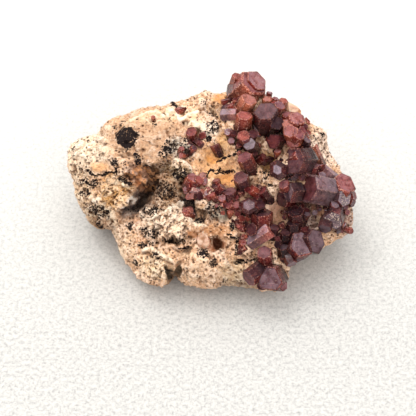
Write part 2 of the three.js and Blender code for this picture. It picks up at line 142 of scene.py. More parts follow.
# Matt off-white board: a fine grain keeps it from looking like empty white, and its colour pales
# from the front edge to well behind the specimen: painted light, paler where the board is brighter lit.
board, tree, place = new_material("matt_white_board")
mottle = add_node(tree, "TexNoise", {
    "Vector": place, "Scale": FLOOR_GRAINS_PER_MM / MM, "Detail": 6.0, "Roughness": 0.95})
speckle = add_node(tree, "MapRange", {"Value": mottle, "From Min": 0.38, "From Max": 0.54})
depth = add_node(tree, "SeparateXYZ", {"Vector": place}).outputs["Y"]
distance = add_node(tree, "MapRange", {"Value": depth, "From Min": -0.03, "From Max": 0.09})
dark_grain, pale_grain = (
    add_node(tree, "Mix", {"Factor": distance, "A": near, "B": far}, data_type="RGBA")
    for near, far in (("#888785", "#bbbab7"), ("#b9b7b3", "#c4c3bf")))
board_colour = add_node(tree, "Mix", {
    "Factor": speckle, "A": dark_grain, "B": pale_grain}, data_type="RGBA")
board_shader = add_node(tree, "BsdfPrincipled", {"Base Color": board_colour, "Roughness": 0.9})
add_node(tree, "OutputMaterial", {"Surface": board_shader})
floor_mesh.materials.append(board)

for name, (position, size, watts, colour) in LIGHTS.items():
    lamp = bpy.data.lights.new(name, "AREA")
    lamp.size = size
    lamp.energy = watts
    lamp.color = linear(colour)
    light = bpy.data.objects.new(name, lamp)
    bpy.context.scene.collection.objects.link(light)
    # A lamp shines down its own -Z axis, so that axis is turned to the specimen.
    back = np.subtract(position, SPECIMEN_MIDDLE)
    back /= np.linalg.norm(back)
    right = np.cross([0, 1, 0.01], back)
    right /= np.linalg.norm(right)
    lamp_pose = Matrix(np.column_stack([right, np.cross(back, right), back]).tolist()).to_4x4()
    lamp_pose.translation = position
    light.matrix_world = lamp_pose

world = bpy.data.worlds.new("studio")
bpy.context.scene.world = world
world.use_nodes = True
tree = world.node_tree
tree.nodes.clear()
direction = add_node(tree, "SeparateXYZ", {
    "Vector": add_node(tree, "TexCoord").outputs["Generated"]})
leaning = add_node(tree, "Math", {
    0: direction.outputs["Y"], 1: STUDIO_LEAN, 2: direction.outputs["Z"]}, operation="MULTIPLY_ADD")
ramp = add_node(tree, "ValToRGB", {"Fac": leaning})
low_end, high_end = ramp.color_ramp.elements
low_end.position, high_end.position = 0.0, STUDIO_FULL_HEIGHT
low_end.color, high_end.color = STUDIO_LOW_GREY, (1.0, 1.0, 1.0, 1)
sky = add_node(tree, "Background", {"Color": ramp, "Strength": STUDIO_BRIGHTNESS})
add_node(tree, "OutputWorld", {"Surface": sky})
world.cycles_visibility.glossy = False


# ---------------------------------------------------------------- the matrix rock
# One lump of pale carbonate rock, porous and pitted, with iron-stained hollows and black
# manganese growths. It lies loose on its broad underside.

ROCK_CENTRE = np.array([1.1, 4.0, -2.5])
FRONT_DEPTH = 9.0
BACK_DEPTH = 22.0
MEAN_RADIUS = 26.0
BOXINESS = 0.72
RIM_FIRMNESS = 8
BROAD_LUMP_RISE = 0.65
FINE_LUMP_RISE = 0.4
FRONT_RINGS = 104
BACK_RINGS = 62
COLUMNS = 560

# Broken grain: size and rise in millimetres, seed, and whether it is folded into sharp ridges.
GRAINS = ((3.2, 0.26, 1, True), (1.5, 0.20, 4, True), (1.9, 0.20, 2, False), (0.9, 0.22, 3, False))
PIT_DEPTH = 0.75
SMALL_PIT_DEPTH = 0.45
KNOB_RISE = 0.30
CHUNK_RISE = 0.42
CRUMB_RISE = 0.30

# Bare stone and the share of open pores in front and behind, rust behind, and the dark ground under
# a crust of crystals.
FRONT_STONE = "#e8b78f"
BACK_STONE = "#c49a74"
FRONT_PORES = 0.45
BACK_PORES = 0.30
RUST = "#9a6a40"
UNDER_CRUST = "#54281f"
UNDER_CRUST_SHARE = 0.72

# Outline points u, v and w, clockwise from the left end.
RIM = np.array([
    [-31.4, 11.9, -5], [-30.8, 14.4, -5], [-27.4, 15.8, -6], [-24.8, 16.3, -5], [-23.6, 18.2, -4],
    [-21.2, 20.0, -5], [-18.9, 20.5, -5], [-16.4, 21.7, -5], [-13.1, 22.5, -5], [-9.7, 22.8, -5],
    [-5.0, 24.0, -5], [-0.7, 26.0, -5], [2.0, 25.3, -4.5], [5.4, 26.1, -4.5], [9.5, 26.1, -4],
    [14.0, 24.3, -4], [18.4, 21.4, -4], [22.3, 19.0, -4], [26.3, 17.1, -4], [26.8, 12.6, -4],
    [29.0, 9.5, -3.5], [30.2, 6.8, -3], [31.7, 2.7, -3], [32.4, -1.4, -3], [32.2, -4.7, -3],
    [29.2, -6.8, -2.5], [26.8, -8.1, -2], [23.4, -9.5, -1.5], [20.7, -11.2, -1],
    [18.0, -13.5, -0.5], [17.3, -16.4, 0], [15.1, -18.4, 0], [10.8, -17.9, 0], [7.4, -17.4, 0],
    [3.1, -17.0, 0], [0.5, -17.9, 0.5], [-2.7, -17.7, 0.5], [-5.9, -16.5, 0.5], [-7.3, -15.2, -1],
    [-8.8, -16.9, 0.5], [-11.5, -17.4, 0.5], [-14.0, -16.4, -1], [-16.2, -14.6, -3],
    [-18.2, -12.0, -3.5], [-19.6, -9.5, -4], [-20.7, -6.3, -5], [-21.6, -4.5, -6],
    [-24.8, -4.5, -7], [-26.7, -2.7, -7], [-28.4, 0.0, -7], [-29.4, 2.9, -7], [-30.0, 6.3, -6.5],
    [-31.1, 8.1, -6], [-31.5, 10.1, -5],
])

# Lumps, ledges, hollows and seams: centre u, v, half sizes, turn in degrees, rise, easing share.
RELIEF = {
    "tan plateau": (-15.4, 14.0, 10.5, 6.6, 12, 1.6, 0.35),
    "plateau step": (-21.0, 12.0, 5.0, 6.5, -20, 0.7, 0.5),
    "outer lobe": (-28.6, 4.2, 4.2, 8.5, 8, -1.6, 0.6),
    "left flank": (-20.5, 4.0, 5.0, 7.0, -15, 1.4, 0.5),
    "deep groove": (-13.2, 3.6, 7.0, 2.4, 58, -5.2, 0.75),
    "groove mouth": (-10.6, 8.8, 3.4, 2.0, 25, -2.4, 0.8),
    "cream mound": (-9.0, -3.2, 7.2, 5.4, -15, 2.6, 0.7),
    "lower left lump": (-12.6, -12.6, 4.6, 4.0, -20, 1.8, 0.7),
    "left slope": (-17.6, -6.0, 2.6, 6.4, 18, 1.0, 0.8),
    "bottom mound": (-0.8, -13.4, 6.6, 4.4, 0, 2.0, 0.6),
    "shelf": (2.5, -5.2, 6.4, 2.2, -8, 1.4, 0.5),
    "dark cavity": (2.1, -7.8, 1.5, 2.2, 15, -4.2, 0.6),
    "barite seat": (-1.0, -7.2, 2.6, 3.0, 0, -1.2, 0.7),
    "undercut seam": (-7.4, -7.3, 4.2, 0.9, -2, -2.2, 0.8),
    "curved rim": (-6.2, 8.8, 2.6, 2.4, 0, 2.2, 0.55),
    "speckled slope": (-5.0, 2.8, 3.6, 4.2, -10, -1.2, 0.8),
    "ochre basin": (2.8, 9.4, 6.4, 5.2, -20, -2.2, 0.6),
    "grey lump": (2.0, -1.0, 3.0, 2.8, 0, 1.4, 0.6),
    "crystal valley": (15.0, -1.0, 6.2, 2.2, 76, -3.6, 0.8),
    "ochre floor": (13.4, 10.2, 4.4, 3.2, -30, -1.8, 0.7),
    "crystal ridge": (19.8, 12.0, 6.5, 13.0, -22, 3.2, 0.85),
    "right shelf": (25.6, 13.0, 3.4, 6.0, -20, -1.6, 0.6),
    "lower right patch": (23.4, -3.4, 2.2, 1.8, 0, -1.8, 0.7),
    "bottom notch": (-7.5, -15.6, 1.5, 3.0, 0, -4.0, 0.8),
    "lower seam": (9.4, -11.6, 4.6, 0.9, 8, -1.6, 0.8),
    "lower right lump": (9.8, -14.4, 4.4, 2.6, 8, 0.9, 0.7),
    "top ledge": (-3.5, 21.6, 9.0, 1.6, 8, -1.2, 0.7),
}

# Broken faces of the back and underside: direction and distance from the rock's centre.
FRACTURES = [
    ((0.05, 0.95, -0.3), 19.0), ((0.2, 0.76, -0.62), 17.0), ((-0.66, 0.6, -0.45), 19.5),
    ((0.8, 0.42, -0.43), 22.0), ((-0.62, -0.38, -0.69), 16.5), ((0.6, -0.49, -0.63), 16.5),
    ((-0.3, 0.35, -0.88), 18.5), ((0.35, 0.2, -0.91), 19.0),
]
FRACTURE_FLATNESS = 0.92

# Stains and weathering, some of them painted light and shade: u, v, half sizes, turn, colour, strength
# and share of open pores.
STAINS = {
    "sunlit left edge": (-27.0, 13.0, 8.0, 7.5, 20, "#fbe1c2", 0.9, 0.40),
    "smooth tan plateau": (-14.4, 16.4, 12.5, 8.4, 10, "#c19876", 0.95, 0.25),
    "plateau top edge": (-9.0, 20.6, 12.0, 2.2, 8, "#efc69c", 0.6, 0.3),
    "bare tan pad": (-24.1, 9.5, 3.0, 1.7, -4, "#eeb27c", 0.9, 0.0),
    "left lobe": (-28.8, 4.0, 3.6, 8.5, 8, "#f2d0aa", 0.8, 0.6),
    "golden porous swirl": (-20.6, 3.8, 5.2, 5.6, -15, "#ecb26e", 1.0, 0.7),
    "brown wall": (-14.4, 7.0, 5.8, 3.6, -25, "#ae7d62", 1.0, 0.5),
    "orange patch": (-15.1, 5.0, 1.8, 1.3, -30, "#b06a3c", 0.9, 0.0),
    "grey streaked slope": (-16.9, 0.0, 3.2, 1.9, 32, "#7c685d", 0.9, 0.1),
    "dark speckled floor": (-12.4, -0.1, 3.4, 2.2, 5, "#5f5049", 0.85, 0.7),
    "pinkish brown foot": (-16.0, -2.4, 2.0, 2.2, 0, "#bb835f", 0.8, 0.2),
    "dark lower lobe": (-24.6, -1.6, 5.0, 4.0, -30, "#bb9d7c", 0.95, 0.9),
    "lobe foot": (-23.9, -3.4, 3.4, 1.6, -20, "#8a6446", 0.8, 0.4),
    "cream mound top": (-9.3, -3.0, 7.6, 4.8, -12, "#fbd9b8", 0.9, 0.85),
    "left slope face": (-18.2, -8.0, 3.0, 6.0, 22, "#e8c19c", 0.8, 0.55),
    "brown speckled flank": (-8.2, 4.6, 6.0, 7.4, 0, "#a07c5b", 0.95, 0.85),
    "arch hollow": (-6.9, 8.2, 3.4, 2.4, -20, "#e0b888", 0.85, 1.0),
    "basin floor": (1.6, 9.8, 6.4, 5.0, -15, "#ecb682", 0.95, 0.15),
    "orange basin heart": (1.4, 11.0, 2.4, 2.4, 0, "#eea654", 0.8, 0.0),
    "orange lower basin": (4.0, 6.3, 3.0, 2.2, 0, "#e39c55", 0.85, 0.0),
    "pale step": (0.6, 17.4, 3.4, 2.6, 0, "#e8cdb4", 0.8, 0.7),
    "ochre step": (3.6, 14.8, 2.6, 3.0, 0, "#d8a468", 0.8, 0.2),
    "dark tan valley": (14.2, 1.4, 3.4, 7.4, -12, "#ffcfb2", 1.0, 0.10),
    "tan valley head": (13.0, 4.6, 3.6, 3.6, 0, "#d3a57f", 1.0, 0.5),
    "ochre floor stain": (13.4, 10.2, 3.6, 3.0, -30, "#b9854e", 0.9, 0.3),
    "grey dendrite lump": (2.2, -0.8, 3.8, 3.0, 0, "#9a8472", 0.9, 0.6),
    "tan block": (-2.0, -0.2, 1.6, 1.9, 0, "#b98c60", 0.9, 0.2),
    "dark hollow": (-4.3, 1.0, 2.7, 3.8, 0, "#3a2e2c", 0.95, 0.6),
    "red-brown cavity": (1.8, -7.9, 2.7, 2.7, 10, "#874a2b", 1.0, 0.0),
    "orange shelf": (1.6, -4.7, 5.4, 2.0, -6, "#bf8659", 0.9, 0.4),
    # Painted shade on the bottom rim of the rock, just above the floor.
    "painted shade on the lower edge": (8.0, -16.4, 7.4, 2.8, 4, "#a8927a", 0.85, 0.4),
    "smooth bottom mound": (-1.6, -14.2, 6.6, 3.8, 0, "#e2ba97", 0.9, 0.35),
    "lower left lump top": (-11.6, -12.8, 5.0, 4.4, -15, "#f1cda2", 0.8, 0.7),
    "grey lower right": (5.6, -13.8, 4.2, 3.6, 8, "#cfb08a", 0.8, 0.3),
    "iron cap": (3.0, 24.6, 3.0, 1.6, 0, "#d08a44", 0.9, 0.1),
    "right shelf tan": (25.8, 13.4, 5.0, 8.0, -25, "#f1d2ba", 0.9, 0.7),
    "lower right tan": (23.4, -3.0, 3.0, 2.4, 0, "#e0b896", 0.9, 0.5),
    "corner tan": (30.2, -2.8, 3.6, 4.6, 0, "#b09084", 0.95, 0.7),
    "crystal valley shade": (20.8, -1.2, 5.4, 5.0, 10, "#240d10", 1.0, 0.1),
    "mauve patch": (22.9, -3.6, 2.6, 2.2, 0, "#c9a699", 1.0, 0.5),
    "smooth grey lump": (2.9, -1.5, 2.0, 1.8, 0, "#857b6c", 0.9, 0.0),
    "grey speckled step": (-6.4, 13.0, 4.2, 3.0, 0, "#d2c2ae", 0.87, 0.7),
    "orange lump": (-3.7, -5.6, 1.9, 1.6, 0, "#b9743f", 0.9, 0.1),
    "grey lower slope": (-17.2, -0.4, 3.6, 2.3, 32, "#544a4a", 0.95, 0.4),
    # The black pit in the deep groove is deepened with painted shade.
    "black pit with painted shade": (-15.2, 2.2, 5.2, 2.7, 38, "#2b2327", 0.97, 0.3),
    # The bottom notch and its lit side wall are darkened with painted shade.
    "black bottom notch with painted shade": (-8.4, -14.9, 1.7, 2.9, 12, "#17110e", 1.0, 0.0),
    "painted shade on the notch side": (-6.7, -14.0, 0.8, 2.0, 0, "#463829", 0.9, 0.3),
    # Painted shade on the rock under the left cluster of crystals.
    "painted shade below the left cluster": (-2.4, -1.6, 2.4, 2.4, 0, "#6f5541", 0.9, 0.7),
    "between the ridge crystals": (19.4, 6.9, 3.4, 1.7, 0, "#3a1a14", 0.95, 0.2),
    "grey brown top": (2.2, 21.4, 4.6, 2.6, -10, "#a6805f", 0.90, 0.6),
}

# Blots of manganese, a few of them painted shade in an undercut and a notch: u, v, half sizes, turn
# and how much of the place they cover.
MANGANESE_AND_SHADE = [
    (-20.7, 10.0, 1.7, 1.2, 0, 0.8), (-18.7, 9.8, 0.8, 0.9, 0, 0.7), (-27.2, 5.8, 2.4, 1.4, -40, 0.75),
    (-22.6, 7.6, 4.2, 0.7, 6, 0.85), (-25.6, 5.4, 1.6, 1.4, 30, 0.9), (-20.4, 8.1, 0.6, 1.0, 0, 0.7),
    (-18.1, 6.2, 1.2, 1.0, -50, 0.8), (-15.9, 11.6, 1.1, 1.2, 0, 0.85), (-15.5, 10.2, 1.4, 1.1, 0, 0.9),
    (-20.9, 17.8, 1.2, 0.9, 30, 0.75), (-19.3, 18.9, 1.3, 0.8, 40, 0.7), (-14.3, 15.9, 0.9, 0.6, 30, 0.6),
    (-12.1, 18.5, 1.1, 0.6, -30, 0.6), (-7.3, 22.8, 1.9, 0.7, -38, 1.0), (-8.6, 19.7, 0.6, 0.9, 0, 0.75),
    (-0.9, 23.6, 1.6, 0.9, -30, 0.6), (-3.4, 23.6, 1.0, 0.5, 0, 0.6), (1.1, 20.7, 2.2, 1.4, -20, 0.66),
    (4.0, 20.2, 1.8, 2.0, 0, 0.6), (1.1, 17.8, 2.6, 2.0, 40, 0.78), (-0.3, 15.6, 1.6, 1.3, 20, 0.85),
    (-8.7, 13.3, 2.8, 2.8, 0, 0.72), (-5.9, 13.0, 3.4, 2.4, 0, 0.61), (-4.4, 14.0, 1.9, 3.2, 0, 0.72),
    (-9.4, 11.8, 3.0, 1.2, 0, 0.6), (-12.9, 9.0, 0.9, 0.7, 0, 0.85),
    (-17.3, -3.8, 1.0, 1.6, 0, 0.75), (-24.6, -0.6, 4.2, 2.8, -25, 0.66),
    (-24.2, -3.4, 1.8, 1.4, -20, 0.75),
    (-11.8, -10.6, 2.4, 1.2, -10, 0.75), (-15.9, -12.2, 1.4, 1.2, -30, 0.7),
    # The blot at -9.3, -14.2 blackens the bottom notch: painted shade.
    (-9.3, -14.2, 0.9, 1.2, 0, 0.85), (-14.6, -8.3, 1.8, 1.2, 0, 0.72), (-13.8, -5.4, 1.9, 2.2, 0, 0.7),
    (-1.0, -10.2, 2.2, 1.7, -35, 0.85), (1.2, -12.0, 1.5, 1.5, -45, 0.8),
    (6.6, -7.6, 0.9, 2.6, -8, 0.8), (5.2, -4.2, 1.0, 1.5, 20, 0.95), (9.6, -12.0, 3.2, 0.8, 8, 0.85),
    (12.6, 7.4, 2.6, 2.0, 0, 0.72), (13.9, 4.9, 0.9, 0.7, 0, 0.85), (12.3, 16.4, 1.8, 1.2, 0, 0.75),
    (-4.6, 1.6, 2.4, 2.9, 0, 0.64), (-6.4, 7.4, 2.8, 2.4, 0, 0.78), (-9.2, 3.8, 3.6, 3.6, 15, 0.72),
    (1.4, -0.4, 3.6, 2.6, 0, 0.62), (-12.2, -0.6, 3.0, 2.0, 0, 0.72), (-11.6, -5.4, 1.6, 2.2, 0, 0.78),
    # The first two blots on this line darken the same undercut: painted shadow.
    (-7.4, -7.4, 4.2, 0.8, -2, 0.62), (-5.2, -8.9, 2.2, 0.5, 4, 0.85), (-12.4, -7.8, 2.2, 1.0, -10, 0.75),
    (25.6, 16.6, 0.9, 0.9, 0, 0.9), (23.6, 15.6, 1.2, 1.4, 0, 0.6), (26.0, -3.2, 1.2, 1.8, 0, 0.75),
    (28.4, 7.6, 1.4, 1.0, -20, 0.6), (3.4, -16.0, 1.4, 0.8, 10, 0.7), (-28.7, 8.8, 0.8, 1.8, 10, 0.65),
    (-1.8, -2.8, 1.9, 1.1, 0, 0.75), (-3.5, -0.8, 1.2, 2.2, 0, 0.8), (-16.6, -0.2, 2.6, 1.4, 32, 0.6),
    (-30.1, 13.2, 0.8, 1.2, 0, 0.7), (-27.0, 15.3, 1.2, 0.7, 20, 0.6), (-27.8, 3.4, 2.2, 1.5, 0, 0.7),
]

# Dendrites: chains of manganese beads along these lines, and their half width. The last one is
# painted shadow at the foot of a wall.
DENDRITES = [
    ([(-1.1, 6.1), (-0.2, 7.4), (0.7, 8.6), (1.6, 8.1), (2.6, 8.4)], 0.50),
    ([(2.6, 8.1), (3.6, 7.8), (5.0, 8.2), (5.6, 7.9)], 0.45),
    ([(2.4, 10.3), (3.4, 10.9), (4.7, 11.8), (6.2, 12.0), (7.4, 13.4)], 0.50),
    ([(-27.0, 8.6), (-25.4, 7.2), (-23.2, 7.8), (-20.5, 7.9), (-20.4, 9.0)], 0.45),
    ([(4.7, -5.9), (6.4, -7.0), (6.9, -8.8), (6.3, -10.3)], 0.45),
    ([(6.1, -12.4), (7.2, -11.5), (9.0, -11.8), (11.0, -11.5), (12.8, -11.5)], 0.50),
    # A black line at the foot of the brown wall: painted shadow.
    ([(-19.4, 6.8), (-18.2, 6.1), (-17.3, 5.4)], 0.50),
]

# Cracks and bare ledges: points along them, half width, rise, colour and strength. Some black
# cracks are painted shadow, and the pale colour of the ledges is partly painted highlight.
SEAMS = [
    # The first two seams are black lines under an undercut: painted shadow.
    ([(-11.0, -7.1), (-9.0, -7.3), (-7.0, -7.4), (-5.4, -6.9), (-3.6, -6.4)], 0.40, -0.80, "#2c1f1b", 1.0),
    ([(-7.9, -9.3), (-5.4, -9.6), (-3.8, -9.1), (-2.9, -8.1)], 0.28, -0.50, "#2c1f1b", 0.9),
    ([(-15.1, -10.0), (-13.5, -10.1), (-12.4, -11.1), (-10.8, -11.0), (-9.2, -11.9),
      (-7.9, -12.6)], 0.35, -0.60, "#4a3027", 0.8),
    # This seam blackens the bottom notch: painted shade.
    ([(-9.3, -13.3), (-9.0, -14.4), (-8.1, -15.1), (-8.3, -16.7)], 0.50, -1.20, "#17110f", 1.0),
    ([(-6.3, -12.4), (-6.5, -14.0), (-7.4, -15.5)], 0.60, -0.80, "#4d4132", 0.8),
    ([(-18.0, 7.4), (-15.8, 6.3), (-13.5, 8.1), (-11.7, 8.6)], 0.40, -0.50, "#43291d", 0.8),
    ([(-13.1, 3.6), (-12.6, 5.4), (-11.7, 7.2)], 0.60, -0.80, "#2b1d19", 0.9),
    # A black streak down the deep groove: painted shadow.
    ([(-18.0, -0.5), (-14.9, 1.1), (-12.6, 3.6), (-10.8, 6.3)], 0.55, -0.50, "#1c1516", 1.0),
    ([(-19.4, -1.4), (-16.7, 0.5), (-14.0, 1.8)], 0.35, -0.30, "#3a302f", 0.9),
    ([(-19.8, -0.2), (-17.3, 1.1), (-15.5, 2.5)], 0.22, 0.25, "#b7a79c", 0.8),
    ([(-18.5, -1.8), (-15.3, -0.5), (-13.1, 0.9)], 0.22, 0.20, "#8d7b71", 0.8),
    ([(-5.6, 4.0), (-4.0, 2.5), (-3.6, 0.2), (-5.0, -0.7)], 0.70, -0.80, "#2d2421", 0.9),
    ([(-2.9, -1.6), (-2.0, -3.1), (-0.9, -2.9), (-0.5, -1.4)], 0.40, -0.50, "#2a211e", 0.9),
    ([(-14.2, 9.5), (-13.1, 8.6), (-11.9, 8.3)], 0.60, -0.80, "#2a1c18", 1.0),
    # The pale ledges from here on are bare stone with a painted highlight along them.
    ([(-17.3, 19.4), (-15.3, 20.8), (-13.1, 21.5), (-11.2, 21.3),
      (-9.9, 20.4)], 0.35, 0.30, "#fbe6c8", 0.7),
    ([(-9.0, 20.9), (-7.9, 21.6), (-7.0, 20.8), (-6.3, 19.7), (-5.0, 20.5), (-3.6, 21.2),
      (-2.2, 21.6)], 0.40, 0.35, "#fff3da", 0.8),
    ([(-4.7, 18.7), (-3.4, 19.0), (-1.8, 18.6), (-1.1, 17.6), (-0.5, 16.4)], 0.55, 0.30, "#ffecca", 0.8),
    ([(-7.2, 10.3), (-6.1, 10.6), (-5.0, 9.9), (-4.2, 8.9), (-3.8, 7.7)], 0.40, 0.55, "#fdeacb", 0.8),
    ([(-21.6, 5.9), (-20.2, 6.2), (-18.9, 5.9), (-18.2, 4.8), (-17.6, 4.5)], 0.35, 0.30, "#ffe9c8", 0.8),
    ([(-23.4, 0.9), (-21.6, -1.1), (-20.9, -3.1), (-20.5, -5.6), (-20.0, -8.1),
      (-18.9, -11.2)], 0.45, 0.25, "#ffe6c4", 0.7),
    ([(-14.8, -9.5), (-13.1, -9.0), (-11.2, -9.8), (-10.1, -10.6), (-8.6, -11.5),
      (-7.0, -12.2)], 0.42, 0.40, "#fff0d4", 0.6),
    ([(-9.7, -0.9), (-8.8, -0.1), (-7.2, 0.2), (-5.9, 0.7)], 0.40, 0.35, "#fff0d6", 0.7),
    ([(-4.0, -2.0), (-2.5, -3.6), (-0.5, -4.0)], 0.50, 0.30, "#ffe9cc", 0.8),
    ([(-13.1, -2.5), (-11.0, -1.8), (-10.1, -2.2)], 0.40, 0.30, "#ffefd4", 0.8),
    ([(-26.1, 1.6), (-24.8, 1.4), (-24.1, 2.0)], 0.35, 0.20, "#fff4e0", 0.9),
    ([(-18.2, 2.0), (-17.3, 2.4), (-16.7, 2.2)], 0.30, 0.20, "#fff8ee", 1.0),
    ([(-6.1, -10.6), (-2.7, -10.1), (-0.7, -11.7)], 0.40, 0.20, "#f7dcb8", 0.6),
]

# Where small crystals crowd the rock and darken it: u, v, half sizes, turn, how many, darkest and
# palest tone, and how frosted they are, a coat that is partly painted sheen.
CRUST = [
    (13.2, 24.2, 3.5, 1.5, -20, 18, 0.6, 1.0, 0.3), (19.4, 17.8, 3.6, 4.2, 0, 30, 0.5, 1.0, 0.3),
    (20.4, 13.6, 2.6, 2.6, 0, 14, 0.3, 0.7, 0.4), (17.2, 12.6, 2.2, 2.2, 0, 10, 0.0, 0.3, 0.1),
    (22.8, 9.2, 4.0, 2.3, -40, 22, 0.2, 0.6, 0.6), (19.3, -1.6, 2.5, 3.8, 0, 36, 0.0, 0.2, 0.0),
    (25.4, -0.6, 2.4, 1.5, 0, 10, 0.1, 0.3, 0.4), (28.6, -2.0, 2.8, 3.2, 0, 26, 0.1, 0.6, 0.8),
    (31.0, 3.0, 2.0, 3.2, 0, 14, 0.2, 0.5, 0.5), (17.4, -6.8, 2.6, 2.8, 0, 20, 0.05, 0.3, 0.1),
    (10.6, -2.5, 2.7, 3.5, 0, 22, 0.2, 0.7, 0.1), (7.6, -5.2, 1.2, 3.6, 10, 16, 0.5, 0.9, 0.1),
    (4.8, 1.6, 4.4, 3.2, -45, 34, 0.3, 0.8, 0.2), (-2.6, 4.6, 2.7, 3.0, 0, 34, 0.6, 1.0, 0.75),
    (9.2, 15.6, 3.0, 5.4, 0, 18, 0.1, 0.5, 0.2), (13.0, 19.2, 4.2, 4.2, 0, 16, 0.0, 0.4, 0.1),
    (8.6, 4.6, 3.4, 3.2, 0, 12, 0.2, 0.6, 0.1), (13.8, -15.4, 3.6, 2.8, 0, 12, 0.2, 0.6, 0.4),
    (19.2, -10.2, 3.0, 2.6, 0, 16, 0.1, 0.5, 0.3), (7.6, 22.6, 2.8, 2.2, 0, 12, 0.4, 0.9, 0.2),
    (-2.8, 15.6, 1.8, 2.4, -30, 4, 0.3, 0.6, 0.2), (-4.6, -1.4, 1.4, 0.9, 0, 5, 0.6, 0.9, 0.3),
    (19.4, 7.3, 2.0, 1.1, 0, 14, 0.1, 0.35, 0.3),
]

# One round growth of manganese with a lobed edge.
ROSETTE_PLACE = (-18.0, 15.6)
ROSETTE_RADIUS = 2.48
ROSETTE_LOBES = 7


def table_row(cell, rows):
    """The row of a random table that each cell uses: its whole coordinates times large primes, joined
    by exclusive or and cut down to the number of rows, which is a power of two."""
    mixed = cell[:, 0] * 73856093 ^ cell[:, 1] * 19349663 ^ cell[:, 2] * 83492791
    return mixed & (rows - 1)


def noise(points, size, seed):
    """Gradient noise from -1 to 1: random gradients at the corners of cells of this size are dotted
    with the offsets to a point and blended with the fade curve 6t^5 - 15t^4 + 10t^3."""
    gradients = np.random.default_rng(seed).normal(size=(512, 3))
    gradients /= np.linalg.norm(gradients, axis=1, keepdims=True)
    scaled = points / size
    low = np.floor(scaled).astype(np.int64)
    offset = scaled - low
    fade = offset**3 * (offset * (offset * 6 - 15) + 10)
    total = np.zeros(len(points))
    for corner in np.ndindex(2, 2, 2):
        index = table_row(low + corner, len(gradients))
        pull = np.einsum("ij,ij->i", gradients[index], offset - corner)
        total += pull * np.prod(np.where(corner, fade, 1 - fade), axis=1)
    return 1.6 * total


def cells(points, size, seed):
    """Cellular noise: each cell of this size holds one random point. Returns the distance to the
    nearest one in cell sizes, that point's random rank from 0 to 1, and a plane through it: its
    random slope times the offset from it."""
    table = np.random.default_rng(seed).random((1024, 7))
    scaled = points / size
    low = np.floor(scaled).astype(np.int64)
    nearest = np.full(len(points), np.inf)
    rank, tilt = np.zeros((2, len(points)))
    for step in np.ndindex(3, 3, 3):
        cell = low + step - 1
        row = table[table_row(cell, len(table))]
        offset = cell + row[:, :3] - scaled
        gap = np.linalg.norm(offset, axis=1)
        closer = gap < nearest
        nearest = np.where(closer, gap, nearest)
        rank = np.where(closer, row[:, 3], rank)
        tilt = np.where(closer, np.sum(offset * (row[:, 4:] - 0.5), axis=1), tilt)
    return nearest, rank, tilt


def smooth(value, low, high):
    """0 below low, 1 above high and 3t^2 - 2t^3 between them."""
    t = np.clip((value - low) / (high - low), 0, 1)
    return t * t * (3 - 2 * t)


def patch(u, v, at_u, at_v, along, across, turn, ease):
    """An ellipse's weight: 1 inside, falling smoothly to 0 at its edge over the easing share."""
    angle = math.radians(turn)
    du, dv = u - at_u, v - at_v
    a = (du * math.cos(angle) + dv * math.sin(angle)) / along
    b = (dv * math.cos(angle) - du * math.sin(angle)) / across
    return smooth(1 - np.hypot(a, b), 0, ease)


def line_share(u, v, line, half_width):
    """How near places are to a line: 1 on it, falling smoothly to 0 at the half width. The distance
    to each straight piece is that to its nearest point, and the smallest of them counts."""
    off = np.full(len(u), np.inf)
    for (u0, v0), (u1, v1) in zip(line, line[1:]):
        span = (u1 - u0) ** 2 + (v1 - v0) ** 2
        along = np.clip(((u - u0) * (u1 - u0) + (v - v0) * (v1 - v0)) / span, 0, 1)
        off = np.minimum(off, np.hypot(u - u0 - along * (u1 - u0), v - v0 - along * (v1 - v0)))
    return smooth(1 - off / half_width, 0, 0.8)


def rim_at(around):
    """Radius and depth of the outline at an angle round the centre, straight between its points."""
    shrink = 1 - RIM[:, 2] / SIGHT_DISTANCE
    du, dv = RIM[:, 0] * shrink - ROCK_CENTRE[0], RIM[:, 1] * shrink - ROCK_CENTRE[1]
    angles = np.arctan2(dv, du)
    radius = np.interp(around, angles, np.hypot(du, dv), period=2 * math.pi)
    return radius, np.interp(around, angles, RIM[:, 2], period=2 * math.pi)


def rock_form(around, facing):
    """The lump: at each angle it swells from the rim to its middle as a squarish dome, deeper behind
    than in front. Relief is added in front, products of sines make rounded lumps about 9 and 5 mm
    apart, and the back is trimmed towards the planes of its fractures."""
    level = np.sqrt(1 - facing**2)
    spread, dome = level**BOXINESS, np.abs(facing) ** BOXINESS
    radius, rim_w = rim_at(around)
    front = facing > 0
    u = ROCK_CENTRE[0] + radius * np.cos(around) * spread
    v = ROCK_CENTRE[1] + radius * np.sin(around) * spread
    w = ROCK_CENTRE[2] + (rim_w - ROCK_CENTRE[2]) * spread**2
    w += np.where(front, FRONT_DEPTH, -BACK_DEPTH) * dome
    inward = 1 - spread**RIM_FIRMNESS
    rise = sum(row[5] * patch(u, v, *row[:5], row[6]) for row in RELIEF.values())
    w += np.where(front, rise * inward, 0)
    broad = np.sin(0.71 * u + 1.3) * np.sin(0.63 * v + 0.4) * np.sin(0.67 * w + 2.1)
    fine = np.sin(1.31 * u + 0.6 * v) * np.sin(1.17 * v - 0.7 * w + 1.9)
    lumps = (BROAD_LUMP_RISE * broad + FINE_LUMP_RISE * fine) * inward
    points = np.column_stack([
        u + level * np.cos(around) * lumps, v + level * np.sin(around) * lumps, w + facing * lumps])
    offset = points - ROCK_CENTRE
    kept = np.ones(len(points))
    for toward, distance in FRACTURES:
        reach = offset @ (np.array(toward) / np.linalg.norm(toward))
        kept = np.minimum(kept, distance / np.maximum(distance, reach))
    trimmed = ROCK_CENTRE + offset * (1 + (kept - 1) * FRACTURE_FLATNESS * inward)[:, None]
    return np.where(front[:, None], points, trimmed)


